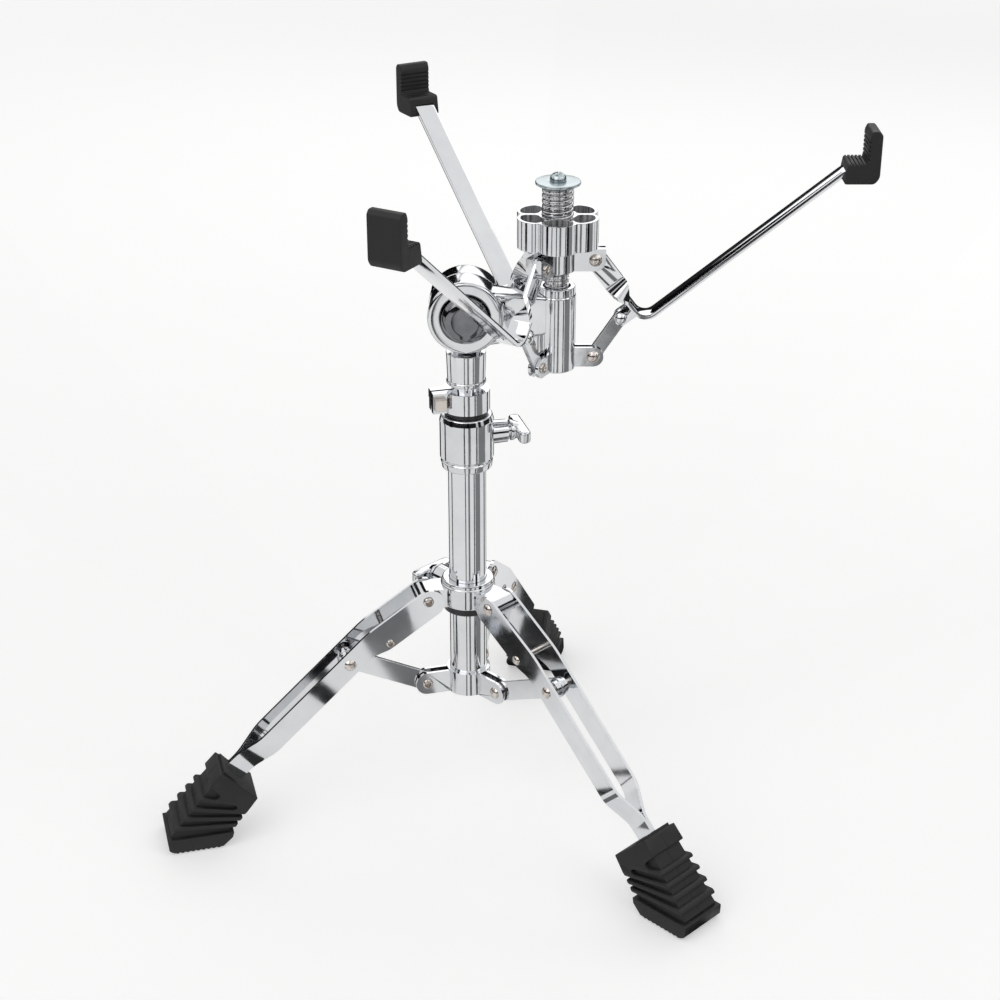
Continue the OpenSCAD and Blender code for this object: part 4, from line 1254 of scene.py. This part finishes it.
# Floor, light and camera. Softboxes are (name, place, size, watts), cards (name, place, size), and streaks
# (azimuth, half angle, colour)
studioLook = {
    "floorSize": 60.0, "floorColour": "#E6E6E5", "floorLift": (0.37, 0.6), "liftFrom": (0.5, 4.5),
    "worldColour": "#FFFFFF", "worldStrength": 0.5, "feltColour": "#0B0B0C",
    "wallColour": "#2E2F31", "wallRadius": 3.2, "wallLow": 0.05, "wallHigh": 1.15,
    "lampTarget": (0.02, 0, 0.25),
    "softboxes": [("keySoftbox", (-1.1, -1.3, 1.7), (1.9, 1.9), 11),
                  ("fillSoftbox", (1.5, -0.9, 1.1), (1.3, 1.8), 5),
                  ("rearSoftbox", (0.4, 1.6, 1.4), (2.0, 1.4), 6)],
    "cards": [("darkCardLeft", (-0.95, -0.45, 0.45), (0.3, 1.1)),
              ("darkCardRight", (0.9, -0.6, 0.4), (0.26, 1.1)),
              ("darkCardFront", (0.2, -1.5, 0.5), (0.24, 0.9)),
              ("darkCardRear", (-0.35, 1.0, 0.5), (0.35, 0.9)),
              ("darkCardTop", (-0.25, -0.1, 1.6), (0.5, 0.5))],
    "streakReach": (0.03, 3.0), "streakHeight": 0.0008,
    "streaks": [(170, 4, "#141415"), (262, 2.5, "#2A2B2C"), (283, 5, "#8A8B8C"), (314, 3, "#101011"),
                (338, 17, "#9B9C9D"), (35, 6, "#1B1B1C"), (75, 12, "#3A3B3C"), (125, 9, "#1D1D1E")],
}


# One where the camera or a reflection looks, and zero for the light that falls on the object
def seenOnly(tree):
    rays = addNode(tree, "ShaderNodeLightPath")
    seen = addNode(tree, "ShaderNodeMath", {"operation": "MAXIMUM"})
    tree.links.new(rays.outputs["Is Camera Ray"], seen.inputs[0])
    tree.links.new(rays.outputs["Is Glossy Ray"], seen.inputs[1])
    return seen.outputs["Value"]


def makeFloor():
    look = studioLook
    floor = addShape("studioFloor", bpy.ops.mesh.primitive_plane_add, size=look["floorSize"])
    material, tree, shader, place, output = newMaterial("paperFloor", {
        "Base Color": hexToLinear(look["floorColour"]), "Roughness": 0.85, "Specular IOR Level": 0.1})
    # far from the lamps the paper needs more lift to stay as white
    away = addNode(tree, "ShaderNodeVectorMath", {"operation": "LENGTH"}, {"Vector": place})
    (near, far), (low, high) = look["liftFrom"], look["floorLift"]
    lift = addNode(tree, "ShaderNodeMapRange",
                   {"From Min": near, "From Max": far, "To Min": low, "To Max": high},
                   {"Value": away.outputs["Value"]})
    strength = addNode(tree, "ShaderNodeMath", {"operation": "MULTIPLY"})
    tree.links.new(lift.outputs["Result"], strength.inputs[0])
    tree.links.new(seenOnly(tree), strength.inputs[1])
    glow = addNode(tree, "ShaderNodeEmission", {"Color": hexToLinear("#FFFFFF")},
                   {"Strength": strength.outputs["Value"]})
    both = addNode(tree, "ShaderNodeAddShader")
    tree.links.new(shader.outputs["BSDF"], both.inputs[0])
    tree.links.new(glow.outputs["Emission"], both.inputs[1])
    tree.links.new(both.outputs["Shader"], output.inputs["Surface"])
    floor.data.materials.append(material)


def makeWorld():
    world = bpy.data.worlds.new("softStudio")
    world.use_nodes = True
    tree = world.node_tree
    background = tree.nodes["Background"]
    background.inputs["Color"].default_value = hexToLinear(studioLook["worldColour"])
    lit = studioLook["worldStrength"]
    strength = addNode(tree, "ShaderNodeMath", {"operation": "MULTIPLY_ADD"})
    tree.links.new(seenOnly(tree), strength.inputs[0])
    strength.inputs[1].default_value = 1 - lit
    strength.inputs[2].default_value = lit
    tree.links.new(strength.outputs["Value"], background.inputs["Strength"])
    bpy.context.scene.world = world


def aim(thing, target):
    direction = Vector(target) - thing.location
    thing.rotation_euler = direction.to_track_quat("-Z", "Y").to_euler()


# A lamp or camera that looks at a point
def addAimed(name, data, place, target):
    thing = bpy.data.objects.new(name, data)
    bpy.context.scene.collection.objects.link(thing)
    thing.location = place
    aim(thing, target)
    return thing


def addSoftbox(name, place, size, power):
    data = bpy.data.lights.new(name, "AREA")
    data.shape = "RECTANGLE"
    data.size, data.size_y = size
    data.energy = power
    addAimed(name, data, place, studioLook["lampTarget"])


# Only reflections see the dark cards and the far wall, which put the dark bands in the chrome
def hideFromAllButMetal(card, colour):
    card.data.materials.append(newMaterial("darkFelt", {
        "Base Color": hexToLinear(colour), "Roughness": 0.95, "Specular IOR Level": 0.1})[0])
    card.visible_camera = card.visible_diffuse = card.visible_shadow = False


def addDarkCard(name, place, size):
    card = addShape(name, bpy.ops.mesh.primitive_plane_add, size=1)
    card.scale = (*size, 1)
    card.location = place
    aim(card, studioLook["lampTarget"])
    hideFromAllButMetal(card, studioLook["feltColour"])


# A dark wedge lying on the floor and pointing at the tube, seen by it as an upright streak
def addFloorStreak(name, azimuth, half, colour):
    streak = addShape(name, bpy.ops.mesh.primitive_plane_add, size=2)
    near, far = studioLook["streakReach"]
    for vertex in streak.data.vertices:
        reach = far if vertex.co.x > 0 else near
        angle = math.radians(azimuth + math.copysign(half, vertex.co.y))
        vertex.co = (reach * math.cos(angle), reach * math.sin(angle), studioLook["streakHeight"])
    hideFromAllButMetal(streak, colour)


def addFarWall():
    low, high = studioLook["wallLow"], studioLook["wallHigh"]
    wall = addShape("farWall", bpy.ops.mesh.primitive_cylinder_add, vertices=64,
                    radius=studioLook["wallRadius"], end_fill_type="NOTHING", depth=high - low,
                    location=(0, 0, (high + low) / 2))
    hideFromAllButMetal(wall, studioLook["wallColour"])


cameraLook = {"lens": 70, "elevation": 26, "distance": 1.3, "target": (0.022, 0.0, 0.236), "azimuth": 0}


def makeCamera():
    look = cameraLook
    data = bpy.data.cameras.new("camera")
    data.lens = look["lens"]
    rise, turn = math.radians(look["elevation"]), math.radians(look["azimuth"])
    away = Vector((math.sin(turn) * math.cos(rise), -math.cos(turn) * math.cos(rise), math.sin(rise)))
    bpy.context.scene.camera = addAimed("camera", data, Vector(look["target"]) + look["distance"] * away,
                                        look["target"])


makeFloor()
makeWorld()
addFarWall()
for softbox in studioLook["softboxes"]:
    addSoftbox(*softbox)
for card in studioLook["cards"]:
    addDarkCard(*card)
for index, streak in enumerate(studioLook["streaks"]):
    addFloorStreak("floorStreak%d" % index, *streak)
makeCamera()
bpy.context.scene.view_settings.view_transform = "Standard"
print("stage: studio set")
